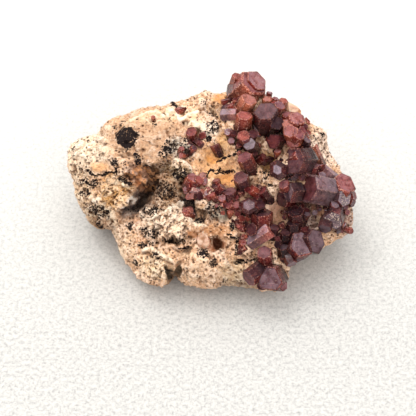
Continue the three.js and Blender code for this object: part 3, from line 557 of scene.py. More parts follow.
def ring_levels():
    """The facing value of each ring from the front middle to the back middle, spaced so that the
    rings are evenly far apart along the dome's profile, closer in front than behind."""
    fine = np.linspace(0, math.pi, 4001)
    facing = np.cos(fine)
    depth = np.where(facing > 0, FRONT_DEPTH, BACK_DEPTH)
    profile = np.column_stack([
        MEAN_RADIUS * np.sin(fine) ** BOXINESS,
        np.sign(facing) * depth * np.abs(facing) ** BOXINESS])
    length = np.append(0, np.cumsum(np.linalg.norm(np.diff(profile, axis=0), axis=1)))
    middle = np.interp(math.pi / 2, fine, length)
    stops = np.concatenate([
        np.linspace(0, middle, FRONT_RINGS + 1), np.linspace(middle, length[-1], BACK_RINGS + 1)[1:]])
    return np.cos(np.interp(stops, length, fine))


def closed_grid(rings, columns):
    """Triangles of a grid that is closed round its columns and drawn together to a point at both
    ends: the points are the front one, the rings in order, and the back one."""
    ring, column = np.mgrid[0 : rings - 1, 0:columns]
    a = 1 + ring * columns + column
    b = 1 + ring * columns + (column + 1) % columns
    quads = np.stack([a, a + columns, b + columns, a, b + columns, b], axis=-1).reshape(-1, 3)
    k = np.arange(columns)
    last = 1 + (rings - 1) * columns
    near = np.column_stack([np.zeros(columns, int), 1 + k, 1 + (k + 1) % columns])
    far = np.column_stack([np.full(columns, last + columns), last + (k + 1) % columns, last + k])
    return np.vstack([near, quads, far])


def grid_normals(points, triangles):
    """Unit normals at the points: the sum of the cross products of the triangles round each one."""
    a, b, c = (points[triangles[:, k]] for k in range(3))
    faces = np.cross(b - a, c - a)
    normals = np.zeros_like(points)
    for k in range(3):
        np.add.at(normals, triangles[:, k], faces)
    return normals / np.linalg.norm(normals, axis=1, keepdims=True)


def new_piece(name, points, triangles, material, smooth_faces, **attributes):
    """Makes a mesh object from points in metres and triangles, with its attributes on the points."""
    mesh = bpy.data.meshes.new(name)
    mesh.vertices.add(len(points))
    mesh.vertices.foreach_set("co", np.asarray(points, np.float32).ravel())
    mesh.loops.add(3 * len(triangles))
    mesh.loops.foreach_set("vertex_index", np.asarray(triangles, np.int32).ravel())
    mesh.polygons.add(len(triangles))
    mesh.polygons.foreach_set("loop_start", np.arange(0, 3 * len(triangles), 3, dtype=np.int32))
    mesh.polygons.foreach_set("use_smooth", np.full(len(triangles), smooth_faces))
    for key, values in attributes.items():
        kind, field = ("FLOAT", "value") if values.ndim == 1 else ("FLOAT_VECTOR", "vector")
        mesh.attributes.new(key, kind, "POINT").data.foreach_set(
            field, np.asarray(values, np.float32).ravel())
    mesh.update(calc_edges=True)
    mesh.validate()
    mesh.materials.append(material)
    piece = bpy.data.objects.new(name, mesh)
    bpy.context.scene.collection.objects.link(piece)
    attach(piece, "root")
    return piece


def manganese_cover(u, v):
    """How much manganese covers each place: blots, dendrites and the rosette, whose radius swells
    and shrinks with the sine of the angle times its number of lobes. A few blots and one dendrite are
    painted shade."""
    cover = np.zeros(len(u))
    for at_u, at_v, along, across, angle, strength in MANGANESE_AND_SHADE:
        cover = np.maximum(cover, strength * patch(u, v, at_u, at_v, along, across, angle, ease=0.6))
    for line, width in DENDRITES:
        cover = np.maximum(cover, 0.9 * line_share(u, v, line, 1.5 * width))
    du, dv = u - ROSETTE_PLACE[0], v - ROSETTE_PLACE[1]
    angle = np.arctan2(dv, du)
    swell = 1 + 0.09 * np.sin(ROSETTE_LOBES * angle) + 0.05 * np.sin(4 * angle + 1)
    return np.maximum(cover, smooth(ROSETTE_RADIUS * swell - np.hypot(du, dv), -0.9, 0.5))


def dyed(colour, shade, weight):
    """A colour drawn towards a shade by a weight: the colour plus the weight times what it lacks."""
    return colour + (np.array(linear(shade)) - colour) * weight[:, None]


def dots(points, size, seed, reach, ease, odds):
    """Round marks: a cell of this size whose rank is below the odds holds one, which is 1 in its
    middle and eases to 0 at the reach, both in cell sizes."""
    gap, rank, _ = cells(points, size, seed)
    return smooth(reach - gap, 0.0, ease) * (rank < odds)


def chunks(points, size, seed, slope):
    """Broken lumps: each cell of this size stands at a height of its own and slopes its own way."""
    _, rank, tilt = cells(points, size, seed)
    return rank - 0.5 + slope * tilt


facing_rings = ring_levels()[1:-1]
ring_angles = np.arange(COLUMNS) * 2 * math.pi / COLUMNS
around = np.concatenate([[0], np.tile(ring_angles, len(facing_rings)), [0]])
facing = np.concatenate([[1], np.repeat(facing_rings, COLUMNS), [-1]])
rock_triangles = closed_grid(len(facing_rings), COLUMNS)
form = rock_form(around, facing)
outward = grid_normals(form, rock_triangles)

# Weathering on the face: colour and pores come from the stains, some of them painted light and shade,
# and fade out behind the rim. The places wander by up to a millimetre, so that no edge is a clean curve.
u, v = form[:, 0], form[:, 1]
on_face = smooth(facing, -0.12, 0.05)
front_stone, back_stone = np.array(linear(FRONT_STONE)), np.array(linear(BACK_STONE))
colour = front_stone * on_face[:, None] + back_stone * (1 - on_face)[:, None]
pores = FRONT_PORES * on_face + BACK_PORES * (1 - on_face)
wander_u, wander_v = (0.9 * noise(form, size=2.2, seed=seed) for seed in (11, 12))
for at_u, at_v, along, across, angle, shade, strength, open_share in STAINS.values():
    weight = patch(u + wander_u, v + wander_v, at_u, at_v, along, across, angle, ease=0.55)
    weight = weight * strength * on_face
    colour = dyed(colour, shade, weight)
    pores += (open_share - pores) * weight
for at_u, at_v, along, across, angle, *_ in CRUST:
    weight = patch(
        u + wander_u, v + wander_v, at_u, at_v, 1.15 * along, 1.15 * across, angle, ease=0.4)
    colour = dyed(colour, UNDER_CRUST, UNDER_CRUST_SHARE * weight * on_face)
rise = np.zeros(len(form))
for line, width, height, shade, strength in SEAMS:
    weight = line_share(u + 0.5 * wander_u, v + 0.5 * wander_v, line, 1.6 * width) * on_face
    weight = weight * smooth(noise(form, size=1.3, seed=31), -0.6, 0.1)
    colour = dyed(colour, shade, strength * weight)
    pores *= 1 - 0.8 * weight
    rise += height * weight
rust = noise(form, size=5.0, seed=21) + 0.5 * noise(form, size=1.9, seed=22)
rust = smooth(rust, 0.15, 0.6) * (1 - on_face)
colour = dyed(colour, RUST, 0.6 * rust)

# Broken stone: grain, sloping chunks of 3 mm and crumbs of 1 mm, and pits and knobs where it is
# porous. All are weaker where it is bare and smooth.
rough = 0.30 + 0.70 * smooth(pores, 0.05, 0.5)
grain = np.zeros(len(form))
for size, height, seed, folded in GRAINS:
    wave = noise(form, size, seed)
    grain += height * (1 - 2.6 * np.abs(wave) if folded else wave)
pits = dots(form, size=1.5, seed=5, reach=0.42, ease=0.2, odds=0.85 * pores)
small_pits = dots(form, size=0.9, seed=6, reach=0.45, ease=0.25, odds=0.8 * pores)
knobs = dots(form, size=1.2, seed=7, reach=0.55, ease=0.5, odds=pores)
bent_form = form + 0.5 * np.column_stack([noise(form, size=1.6, seed=seed) for seed in (41, 42, 43)])
broken = CHUNK_RISE * chunks(bent_form, size=3.0, seed=8, slope=2.4)
broken += CRUMB_RISE * chunks(bent_form, size=1.0, seed=9, slope=2.0)
craggy = np.maximum(rough, 1 - on_face)
for name in ("brown wall", "grey lower slope", "golden porous swirl", "arch hollow"):
    craggy += 1.2 * patch(u, v, *STAINS[name][:5], ease=0.5)
detail = rough * grain - PIT_DEPTH * pits - SMALL_PIT_DEPTH * small_pits + KNOB_RISE * knobs * rough
detail += craggy * broken
# The rim is calmer, so that the outline stays that of the lump.
calm = 1 - 0.40 * smooth(np.abs(facing), 0.25, 0.0) * (facing > -0.3)
detail = detail * calm + rise
rock_points = to_part(form + outward * detail[:, None])
rock_points[:, 2] = np.maximum(rock_points[:, 2], 0)

cover = manganese_cover(u + 0.4 * wander_u, v + 0.4 * wander_v) * on_face
cover = np.maximum(cover, 0.18 * smooth(pores, 0.1, 0.8))
# Pits are darkened and crests paled in the stone's shader: painted shade and painted highlight.
hollow = np.clip(0.9 * pits + 0.7 * small_pits, 0, 1)
crest = smooth(detail, 0.10, 0.60)
shards = patch(u, v, *STAINS["brown wall"][:5], ease=0.4) * on_face


# Every pattern of a shader below is the product of factors, a weighted sum or a pile of coats.
def product(tree, *factors):
    """The product of factors. A factor is a value, or (value, low, high, at low, at high): a value
    carried smoothly from the range low to high to the range that follows, 0 to 1 if left out."""
    total = None
    for factor in factors:
        if isinstance(factor, tuple):
            value, low, high, at_low, at_high = (*factor, 0.0, 1.0)[:5]
            factor = add_node(tree, "MapRange", {
                "Value": value, "From Min": low, "From Max": high, "To Min": at_low,
                "To Max": at_high}, interpolation_type="SMOOTHSTEP")
        total = factor if total is None else add_node(
            tree, "Math", {0: total, 1: factor}, operation="MULTIPLY")
    return total


def total_of(tree, start, *terms):
    """A start value plus the sum of values, each times its weight."""
    total = start
    for value, weight in terms:
        total = add_node(tree, "Math", {0: value, 1: weight, 2: total}, operation="MULTIPLY_ADD")
    return total


def coated(tree, below, colour, *factors):
    """A colour laid over what is below it, as strongly as the product of the factors."""
    return add_node(tree, "Mix", {
        "Factor": product(tree, *factors), "A": below, "B": colour}, data_type="RGBA")


def layered(tree, surface, coats):
    """A surface with coats laid over it in their order. Each is a colour and its factors."""
    for shade, *factors in coats.values():
        surface = coated(tree, surface, shade, *factors)
    return surface


# Porous carbonate rock, broken and weathered: matt and grainy, cream on the crests with a painted
# highlight, brown-black in the pores deepened with painted shade, with sooty manganese that eats in from
# its edges.
stone, tree, place = new_material("weathered_porous_carbonate_rock")
tint = add_node(tree, "Attribute", attribute_name="stain").outputs["Vector"]
cover_value, hollow_value, crest_value, pore_value, shard_value = (
    add_node(tree, "Attribute", attribute_name=name).outputs["Fac"]
    for name in ("manganese", "hollow", "crest", "pores", "shards"))
# Noise by the size of its grains in millimetres, and its detail.
coarse, medium, fine = (
    add_node(tree, "TexNoise", {
        "Vector": place, "Scale": 1 / (grain_mm * MM), "Detail": detail, "Roughness": 0.55})
    for grain_mm, detail in ((2.6, 3.0), (0.8, 3.0), (0.35, 2.0)))

# Fine patterns sit on places shifted by about a quarter of a millimetre, so that they look broken.
shift = add_node(tree, "TexNoise", {"Vector": place, "Scale": 1 / (0.7 * MM)}).outputs["Color"]
scaled = add_node(tree, "VectorMath", {0: shift, "Scale": 0.55 * MM}, operation="SCALE")
bent = add_node(tree, "VectorMath", {0: place, 1: scaled}, operation="ADD").outputs["Vector"]
grit = add_node(tree, "TexNoise", {
    "Vector": bent, "Scale": 1 / (0.48 * MM), "Detail": 3.0, "Roughness": 0.6})
cell_gap, cell_rank = {}, {}
for mark, cell_mm in (("pinhole", 0.75), ("bead", 0.45), ("shard", 1.05)):
    marks = add_node(tree, "TexVoronoi", {"Vector": bent, "Scale": 1 / (cell_mm * MM)})
    cell_gap[mark] = marks.outputs["Distance"]
    cell_rank[mark] = add_node(tree, "SeparateColor", {"Color": marks.outputs["Color"]})

# Dark stone takes less of each tint than pale stone, and dense stone has fewer flecks and gaps.
brightness = add_node(tree, "RGBToBW", {"Color": tint})
pale_stone = (brightness, 0.10, 0.42)
dark_stone = (brightness, 0.10, 0.42, 1.0, 0.0)
takes_tint = (brightness, 0.0, 0.16, 0.25, 1.0)
open_stone = (pore_value, 0.05, 0.60, 0.12, 1.0)
pit_depth = total_of(tree, pore_value, (cell_rank["pinhole"], -1.0))
pinhole = product(tree, (pit_depth, 0.10, 0.20), (cell_gap["pinhole"], 0.46, 0.26))
soot_reach = total_of(
    tree, 0.0, (cover_value, 1.35), (cell_rank["bead"], -0.70), (fine, -0.5), (cell_gap["bead"], -1.0))
soot = product(tree, (soot_reach, -0.27, -0.16))

surface = layered(tree, tint, {
    "cream mottling": ("#f6d9ba", takes_tint, (coarse, 0.42, 0.68, 0.0, 0.20)),
    "browning": ("#a3714f", takes_tint, (medium, 0.52, 0.34, 0.0, 0.55)),
    "pale crests with painted highlight": (coated(tree, tint, "#fff0e0", 0.42), crest_value, pale_stone, 0.75),
    "pale flecks": (
        coated(tree, tint, "#fff4e8", 0.45), (grit, 0.53, 0.64, 0.0, 0.85), open_stone, pale_stone),
    "gaps between grains": ("#6f452c", (grit, 0.46, 0.36, 0.0, 0.80), open_stone),
    "dark hollows with painted shade": ("#522f1d", hollow_value, 0.80),
    "dark pinholes with painted shade": ("#4c2b1a", pinhole, 0.85),
    "lit shards": ("#cf9060", shard_value, (cell_rank["shard"], 0.68, 0.72, 0.0, 0.80)),
    "shaded shards": ("#33201a", shard_value, (cell_rank["shard"], 0.34, 0.30, 0.0, 0.65)),
    "sparks in dark stone": (
        coated(tree, tint, "#f0c9a4", 0.40), dark_stone, (grit, 0.55, 0.63, 0.0, 0.34)),
    "manganese": ("#231918", soot),
})
relief = total_of(tree, medium, (fine, 0.6), (pinhole, -1.2), (soot, 0.5), (grit, 1.6))
bump = add_node(tree, "Bump", {"Height": relief, "Strength": 1.0, "Distance": 0.40 * MM})
stone_shader = add_node(tree, "BsdfPrincipled", {
    "Base Color": surface, "Roughness": 0.9, "Specular IOR Level": 0.2, "Normal": bump})
add_node(tree, "OutputMaterial", {"Surface": stone_shader})

rock = new_piece(
    "rock", rock_points, rock_triangles, stone, True,
    stain=colour, manganese=cover, hollow=hollow, crest=crest, pores=pores, shards=shards)
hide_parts("matrix")


# ---------------------------------------------------------------- vanadinite crystals
# Stout six-sided prisms of lead chlorovanadate, grown out of the rock and into one another. The
# faces are smooth and resinous, stepped by growth; the ends are flat with a narrow bevel.

# Free end u and v, radius, length, lean from w, direction of the lean and turn. Then the tone of the
# body, from 0, nearly black, to 1, orange-brown, and how frosted the end is, a grey-mauve coat that is
# partly painted sheen: the sides are instead where it is negative, and past 1.1 it is a crust.
CRYSTALS = {
    "crown_crystals": [
        (10.3, 27.9, 3.65, 4.5, 48, 40, 4, 0.74, 0.6), (10.9, 28.5, 2.75, 5.3, 48, 40, 4, 0.6, 0.7),
        (6.7, 29.4, 1.35, 4.8, 50, 70, 10, 0.7, 0.5), (9.1, 24.3, 2.05, 3.9, 50, 60, 10, 1, 0.4),
        (6.5, 21.0, 1.57, 2.9, 76, 2, 30, 0.85, -0.7), (5.9, 22.9, 1.01, 2.5, 72, 20, 10, 0.5, 0.3),
        (3.1, 23.5, 0.81, 2.0, 76, 195, 0, 0.35, 0.1),
    ],
    "main_ridge_crystals": [
        (12.8, 21.7, 2.93, 5.0, 39, 92, 0, 0.20, 0.32), (16.2, 22.9, 1.46, 3.6, 45, 60, 10, 0.4, 0.6),
        (16.9, 24.2, 1.17, 3.1, 55, 80, 0, 0.8, 0.3), (15.3, 18.9, 1.98, 4.0, 30, 60, 20, 0, 0.15),
        (17.8, 20.9, 1.24, 2.9, 45, 80, 0, 0.6, 0.4), (14.6, 23.6, 0.95, 2.7, 50, 80, 0, 0.5, 0.1),
        (13.3, 24.5, 1.24, 2.9, 50, 90, 0, 1, 0.5), (13.8, 25.9, 0.72, 3.1, 60, 80, 0, 0.5, 0.7),
        (15.3, 24.6, 0.81, 2.7, 60, 70, 15, 0.5, 0.6), (11.1, 16.1, 0.72, 2.5, 66, 282, 0, 0.5, 1),
        (14.7, 14.8, 1.89, 3.6, 28, 180, 28, 0.05, 0.10), (15.6, 12.9, 0.86, 1.8, 40, 90, 0, 0.8, 0.6),
        (18.4, 17.2, 1.80, 3.2, 35, 110, 12, 0.75, 0.35), (20.2, 16.6, 1.60, 3.4, 40, 60, 40, 0.65, 0.4),
        (19.0, 14.9, 1.75, 3.0, 32, 200, 20, 0.8, 0.4), (20.0, 20.0, 2.14, 3.4, 45, 60, 0, 0.7, 0.5),
        (17.8, 18.9, 1.46, 3.1, 40, 90, 0, 0.8, 0.4), (18.6, 19.6, 1.10, 2.6, 40, 50, 20, 0.8, 0.4),
        (21.3, 17.4, 1.10, 2.4, 45, 30, 0, 0.5, 0.3), (21.8, 18.4, 0.81, 2.2, 45, 60, 0, 0.3, 0.2),
        (18.9, 10.3, 3.40, 3.2, 40, 185, 25, 0.22, 0.28), (20.9, 12.0, 1.91, 2.5, 40, 30, 10, 0.5, 0.5),
        (15.4, 8.6, 2.21, 3.4, 14, 170, 8, 0.2, 1.0), (22.3, 4.5, 4.15, 4.6, 52, 170, 30, 0.22, -0.7),
        (16.5, 2.0, 2.36, 2.0, 58, 196, 10, 0.2, 0.1), (17.7, 3.2, 2.60, 2.4, 54, 185, 30, 0.2, 0.6),
        (16.9, 5.4, 1.35, 2.7, 40, 120, 0, 0.5, 0.3), (22.3, 15.1, 0.95, 2.7, 50, 60, 0, 0.1, 0.7),
        (25.7, 7.4, 1.24, 2.5, 50, 60, 0, 0.4, 0.7), (23.6, 9.7, 1.35, 2.7, 50, 80, 10, 0.5, 0.8),
        (30.8, 5.7, 2.85, 3.2, 46, 60, 10, 0.55, 0.6), (30.5, 2.4, 2.40, 3.2, 42, -10, 0, 0.2, 1.4),
        (32.9, 2.8, 1.17, 2.7, 62, 10, 0, 0.5, 0.5), (25.4, 8.6, 1.50, 4.4, 70, 142, 0, 0.4, -0.7),
        (23.2, 13.7, 1.40, 5.0, 68, 116, 0, 0.9, 0.2), (32.6, 1.0, 1.12, 2.2, 56, -25, 0, 0.3, 0.3),
        (28.1, -2.7, 2.36, 3.4, 35, 250, 0, 0.2, 1.5), (26.1, -4.7, 1.57, 3.1, 50, 250, 0, 0.2, 0.4),
        (28.4, 0.9, 1.24, 2.7, 40, 60, 0, 0.2, 0.8),
    ],
    "lower_ridge_crystals": [
        (19.8, -0.9, 1.91, 3.4, 50, 100, 0, 0, 0.05), (19.1, -3.1, 1.69, 3.1, 58, 95, 0, 0.1, 0.1),
        (22.1, -1.1, 1.12, 2.5, 50, 60, 0, 0.1, 0.4), (21.6, -4.5, 1.35, 2.7, 55, 60, 0, 0.3, 0.1),
        (20.9, -7.9, 2.93, 3.8, 24, 45, 0, 0.3, 0.75), (24.2, -7.6, 2.80, 3.8, 40, 5, 15, 0.1, 0.55),
        (20.2, -11.0, 1.57, 2.7, 42, 300, 0, 0.1, 0.5), (18.8, -12.6, 1.42, 3.8, 66, 293, 0, 0.3, 0.7),
        (16.7, -8.6, 1.46, 3.1, 50, 100, 0, 0.1, 0.3), (15.3, -7.2, 1.12, 2.2, 66, 140, 0, 0.4, 0.5),
        (17.3, -5.4, 1.35, 2.7, 48, 90, 0, 0.15, 0.1),
    ],
    "bottom_crystals": [
        (13.8, -15.9, 3.04, 4.3, 18, 200, 5, 0.3, 0.65), (9.0, -15.7, 2.0, 4.2, 58, 215, 10, 0.3, 0.15),
        (16.9, -17.3, 1.35, 2.7, 42, 0, 0, 0.4, 0.7), (12.6, -9.9, 2.02, 3.8, 38, 105, 12, 0.45, 0.4),
    ],
    "middle_crystals": [
        (14.0, -5.0, 1.91, 5.0, 72, 33, 25, 0.65, -0.5), (9.7, -4.7, 1.46, 2.5, 22, 170, 0, 0.2, 0.1),
        (11.9, -1.0, 2.48, 3.6, 66, 92, 8, 0.3, 0.1), (9.0, 0.6, 2.14, 3.6, 16, 100, 20, 0.18, 0.75),
        (11.5, 0.9, 1.80, 3.4, 46, 55, 0, 0.1, 0.1), (9.6, 4.2, 1.30, 3.1, 64, 150, 25, 0.5, 0.1),
        (12.0, 4.0, 1.53, 2.9, 58, 130, 10, 0.3, 0.1), (7.4, 6.8, 1.80, 3.6, 35, 110, 0, 0.35, 0.15),
        (6.5, 5.4, 1.12, 2.5, 52, 200, 0, 0.5, 0.1), (8.6, 5.2, 0.90, 2.2, 50, -20, 0, 0.3, 0.1),
        (7.9, -7.4, 0.85, 2.9, 70, 75, 0, 0.6, 0.1), (8.6, -8.8, 0.68, 2.0, 60, 40, 0, 0.6, 0.1),
        (14.8, -4.3, 1.24, 2.7, 48, 80, 0, 0.3, 0.1), (10.8, 2.5, 1.01, 2.5, 50, 140, 0, 0.4, 0.1),
    ],
    "upper_crystals": [
        (8.3, 20.7, 1.80, 4.0, 50, 80, 0, 0.75, 0.4), (7.9, 16.2, 1.62, 3.1, 35, 110, 0, 0.5, 0.2),
        (9.3, 14.4, 1.64, 3.4, 25, 140, 25, 0.1, 0.9), (10.1, 16.7, 1.17, 2.9, 40, 60, 0, 0.2, 0.2),
        (10.2, 12.4, 0.77, 2.0, 68, 32, 0, 0.4, 0.5), (6.8, 12.4, 0.63, 2.0, 60, 150, 0, 0.6, 0.3),
    ],
    "step_crystals": [
        (4.5, 17.1, 0.95, 2.0, 25, 120, 0, 0.4, 0.6), (5.7, 16.9, 0.95, 2.0, 40, 60, 10, 0.3, 0.1),
        (5.2, 15.1, 0.85, 1.6, 20, 100, 0, 0.4, 0.6),
    ],
    "chain_crystals": [
        (1.8, 6.3, 1.01, 2.2, 68, 105, 0, 0.4, 0.5), (3.3, 4.8, 1.12, 2.5, 68, 48, 0, 0.4, 0.55),
        (4.7, 3.8, 1.69, 2.9, 54, 100, 0, 0.3, 0.3), (6.2, 2.5, 0.97, 2.0, 40, 60, 0, 0.4, 0.2),
        (3.1, 2.2, 0.99, 1.8, 30, 120, 0, 0.5, 0.3), (4.5, 1.1, 1.30, 2.2, 30, 150, 0, 0.5, 0.2),
        (6.1, 0.9, 1.17, 2.2, 35, 60, 0, 0.5, 0.45), (0.9, 3.1, 0.77, 1.8, 56, 120, 0, 0.7, 0.4),
        (0.0, 2.2, 0.72, 1.8, 56, 200, 0, 0.5, 0.2), (5.0, -0.7, 0.81, 1.8, 40, 80, 0, 0.8, 0.3),
        (7.9, -2.9, 0.99, 2.2, 70, 3, 0, 0.6, 0.45), (7.4, -4.4, 0.72, 1.8, 50, -30, 0, 0.6, 0.2),
    ],
    "left_cluster_crystals": [
        (-3.4, 6.8, 1.45, 2.7, 48, 60, 0, 0.65, 0.7), (-2.0, 6.3, 1.2, 2.6, 50, 40, 0, 0.6, 0.3),
        (-4.7, 5.0, 1.24, 2.5, 58, 190, 0, 0.4, 0.2), (-2.5, 4.5, 1.24, 2.5, 72, -20, 0, 0.4, 0.2),
        (-1.8, 2.7, 1.12, 2.0, 40, 0, 0, 0.3, 0.1), (-3.9, 4.3, 0.80, 3.4, 64, 165, 0, 0.9, -1.8),
    ],
    "basin_twin_crystals": [
        (12.7, 11.4, 1.08, 2.0, 56, 30, 0, 0.4, 0.2), (12.4, 10.3, 0.95, 2.0, 56, 200, 0, 0.2, 0.1),
    ],
    "slope_trio_crystals": [
        (-3.7, 17.1, 1.30, 2.7, 30, 100, 0, 0.45, 0.2), (-2.8, 15.1, 0.95, 2.0, 52, -60, 0, 0.3, 0.1),
        (-1.4, 14.0, 0.81, 2.5, 56, -40, 0, 0.4, 0.4),
    ],
    "slope_twin_crystals": [
        (-5.9, 13.4, 0.66, 1.8, 40, 60, 0, 0.75, 0.5), (-6.1, 11.7, 0.72, 1.8, 35, 180, 0, 0.85, 0.6),
    ],
    "slope_crystal": [(-3.1, 13.5, 0.77, 1.8, 40, 60, 0, 0.45, 0.3)],
    "column_crystal": [(8.1, 11.2, 1.75, 4.5, 46, 118, 0, 0.45, 0.3)],
    "shard_crystal": [(1.4, 14.2, 1.12, 2.5, 66, 118, 0, 0.45, 0.3)],
    "corner_crystal": [(32.2, -5.2, 0.81, 2.7, 50, -20, 0, 0.65, 0.1)],
    "mound_crystal": [(-5.0, -1.2, 0.88, 1.8, 56, 160, 0, 0.85, 0.2)],
    "ledge_crystal": [(-7.0, 21.5, 1.01, 1.8, 54, 200, 0, 0.85, 0.3)],
    "plateau_crystal": [(-12.3, 20.5, 0.50, 1.1, 40, 90, 0, 0.75, 0.2)],
}

# Crystals whose bevel isn't drawn at random: its share of the radius, by their free end.
SET_BEVELS = {(15.4, 8.6): 0.42, (9.0, 0.6): 0.28, (12.8, 21.7): 0.05}
# Shares of the radius: how deep roots reach, and how much more where a crystal stands upright; how
# uneven the sides are; bevels, chamfered corners and growth ledges; and how far in from the bevel
# the end's terrace starts and how high it steps.
ROOT_DEPTH = 0.35
UPRIGHT_ROOT_DEPTH = 0.75
UNEVEN_SIDES = 0.08
BEVELS = (0.03, 0.09)
CHAMFERS = (0.02, 0.05)
LEDGE_STEPS = (-0.010, 0.022)
TERRACE_STARTS = (0.18, 0.4)
TERRACE_STEPS = [-0.04, 0.0, 0.0, 0.0, 0.03]
# Below this radius a crystal is drawn with fewer rings and no growth ledges.
SMALL_RADIUS = 0.7
# Faces turned this way along u, v and w, up the rock, get a film of this strength: painted sheen and dust.
DUST_AND_SHEEN_WAY = (-0.15, 0.87, 0.47)
DUST_AND_SHEEN_FILM = 0.24

cad_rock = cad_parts["matrix"]
ground_form = BVHTree.FromPolygons(
    [cad_rock.matrix_world @ vertex.co for vertex in cad_rock.data.vertices],
    [polygon.vertices for polygon in cad_rock.data.polygons])


def to_face(points):
    """Part places in metres back to u, v and w: lowered by FACE_HEIGHT and dotted with the axes."""
    return (np.asarray(points, float) / MM - [0, 0, FACE_HEIGHT]) @ FACE_AXES.T


def seat_at(u, v):
    """Where the line of sight through a place of the face meets the rock, and the rock's normal
    there, both along u, v and w; None past the rock's edge."""
    sight = to_part([u, v, 0]) - eye
    hit, normal, *_ = ground_form.ray_cast(eye.tolist(), (sight / np.linalg.norm(sight)).tolist())
    return (to_face([hit])[0], np.array(normal) @ FACE_AXES.T) if hit else None


def hexagon(sides, inset):
    """Corners of a polygon whose sides lie at these distances less the inset, with their normals
    60 degrees apart: each corner solves the two line equations of the sides that meet there."""
    angles = np.arange(6) * math.pi / 3
    here, there = sides - inset, np.roll(sides, -1) - inset
    normals = np.column_stack([np.cos(angles), np.sin(angles)])
    beyond = np.roll(normals, -1, axis=0)
    twist = normals[:, 0] * beyond[:, 1] - normals[:, 1] * beyond[:, 0]
    x = (here * beyond[:, 1] - there * normals[:, 1]) / twist
    y = (there * normals[:, 0] - here * beyond[:, 0]) / twist
    return np.column_stack([x, y])


def ring_of(sides, inset, chamfer, shares):
    """One ring round the prism: on each side, points at the given shares of the stretch between
    the chamfered corners."""
    corners = hexagon(sides, inset)
    start = np.roll(corners, 1, axis=0)
    span = corners - start
    length = np.linalg.norm(span, axis=1)[:, None]
    cut = np.minimum(chamfer / length, 0.3)
    t = cut + (1 - 2 * cut) * np.asarray(shares)[None, :]
    return (start[:, None, :] + span[:, None, :] * t[..., None]).reshape(-1, 2)


def crystal_shell(radius, length, root, random, small=False, bevel_share=None):
    """A closed prism: rings of a slightly uneven hexagon from the root to the end, each with its
    own height and inset. Growth ledges step the sides in, and the end is bevelled, then raised,
    flat or sunken. Returns points, triangles and looks: the wear of edges with their painted highlight,
    the place along the faces, the height, how near each point is to the middle of its face, and the
    face's normal and number, which is 6 on the end."""
    apothem = radius * math.cos(math.pi / 6)
    sides = apothem * (1 + np.clip(random.normal(0, UNEVEN_SIDES, 6), -0.14, 0.12))
    bevel = radius * (bevel_share or random.uniform(*BEVELS))
    chamfer = radius * random.uniform(*CHAMFERS)
    bevel_wear_and_highlight = 1.0 if bevel < 0.12 * radius else 0.3
    end = root + length
    # Rows are height, inset and edge wear with painted highlight, from the root up. Shares place the
    # points along each side.
    if small:
        shares, worn_and_lit, middle = [0.0, 0.5, 1.0], [1, 0, 1], [0, 1, 0]
        rows = [(0, 0.2 * radius, 0), (root, 0, 0), (end - bevel, 0, 1),
                (end, bevel, 1), (end, bevel + 0.1 * radius, 0)]
    else:
        shares, worn_and_lit = [0.0, 0.07, 0.36, 0.64, 0.93, 1.0], [1, 0, 0, 0, 0, 1]
        middle = [0.0, 0.15, 1.0, 1.0, 0.15, 0.0]
        rows = [(0, 0.25 * radius, 0), (0.6 * root, 0, 0)]
        inset = 0.0
        for ledge in np.sort(random.uniform(0.15, 0.85, 2)) * length + root:
            step = radius * random.uniform(*LEDGE_STEPS)
            rows += [(ledge, inset, 0), (ledge + 0.03 * length, inset + step, 0.4)]
            inset += step
        rows += [(end - bevel - 0.06 * radius, inset, 0), (end - bevel, inset, bevel_wear_and_highlight),
                 (end, inset + bevel, bevel_wear_and_highlight), (end, inset + bevel + 0.07 * radius, 0)]
        step = radius * random.choice(TERRACE_STEPS)
        terrace = inset + bevel + radius * random.uniform(*TERRACE_STARTS)
        rows += [(end, terrace, 0), (end + step, terrace + 0.05 * radius, 0.5 * (step != 0)),
                 (end + step, terrace + 0.12 * radius, 0)]
    heights, insets, row_wear_and_highlight = np.array(rows, float).T
    per_ring = 6 * len(shares)
    rings = [np.column_stack([ring_of(sides, inset, chamfer, shares), np.full(per_ring, height)])
             for height, inset in zip(heights, insets)]
    points = np.vstack([[0, 0, heights[0]], *rings, [0, 0, heights[-1]]])
    row_of = np.concatenate([[0], np.repeat(np.arange(len(rows)), per_ring), [len(rows) - 1]])
    past_rim = row_of - np.argmax(heights == end)
    on_end = past_rim > 0
    across = np.concatenate([[0], np.tile(np.arange(per_ring), len(rows)), [0]]) / len(shares)
    side = np.where(on_end, 6, np.floor(across).astype(int))
    outward = np.column_stack([np.cos(side * math.pi / 3), np.sin(side * math.pi / 3), 0 * across])
    outward[on_end] = [0, 0, 1]
    corner = np.concatenate([[0], np.tile(worn_and_lit, 6 * len(rows)), [0]]) * ~on_end
    inner = np.concatenate([[1], np.tile(middle, 6 * len(rows)), [1]])
    return points, closed_grid(len(rows), per_ring)[:, ::-1], {
        "wear_and_edge_highlight": np.maximum(row_wear_and_highlight[row_of], corner),
        "grown": np.column_stack([across * radius, points[:, 2], 0 * across]),
        "height": points[:, 2] / end, "middle": np.where(on_end, past_rim > 1, inner),
        "outward": outward, "side": side}


def stood_up(shell, base, axis, spin):
    """A shell moved to its base and turned so that it grows along the axis."""
    points, triangles, looks = shell
    side = np.cross([0, 0, 1], axis)
    side /= np.linalg.norm(side)
    shown = np.cross(side, axis)
    first = shown * math.cos(spin) + np.cross(axis, shown) * math.sin(spin)
    pose = np.array([first, np.cross(axis, first), axis])
    return base + points @ pose, triangles, {**looks, "outward": looks["outward"] @ pose}


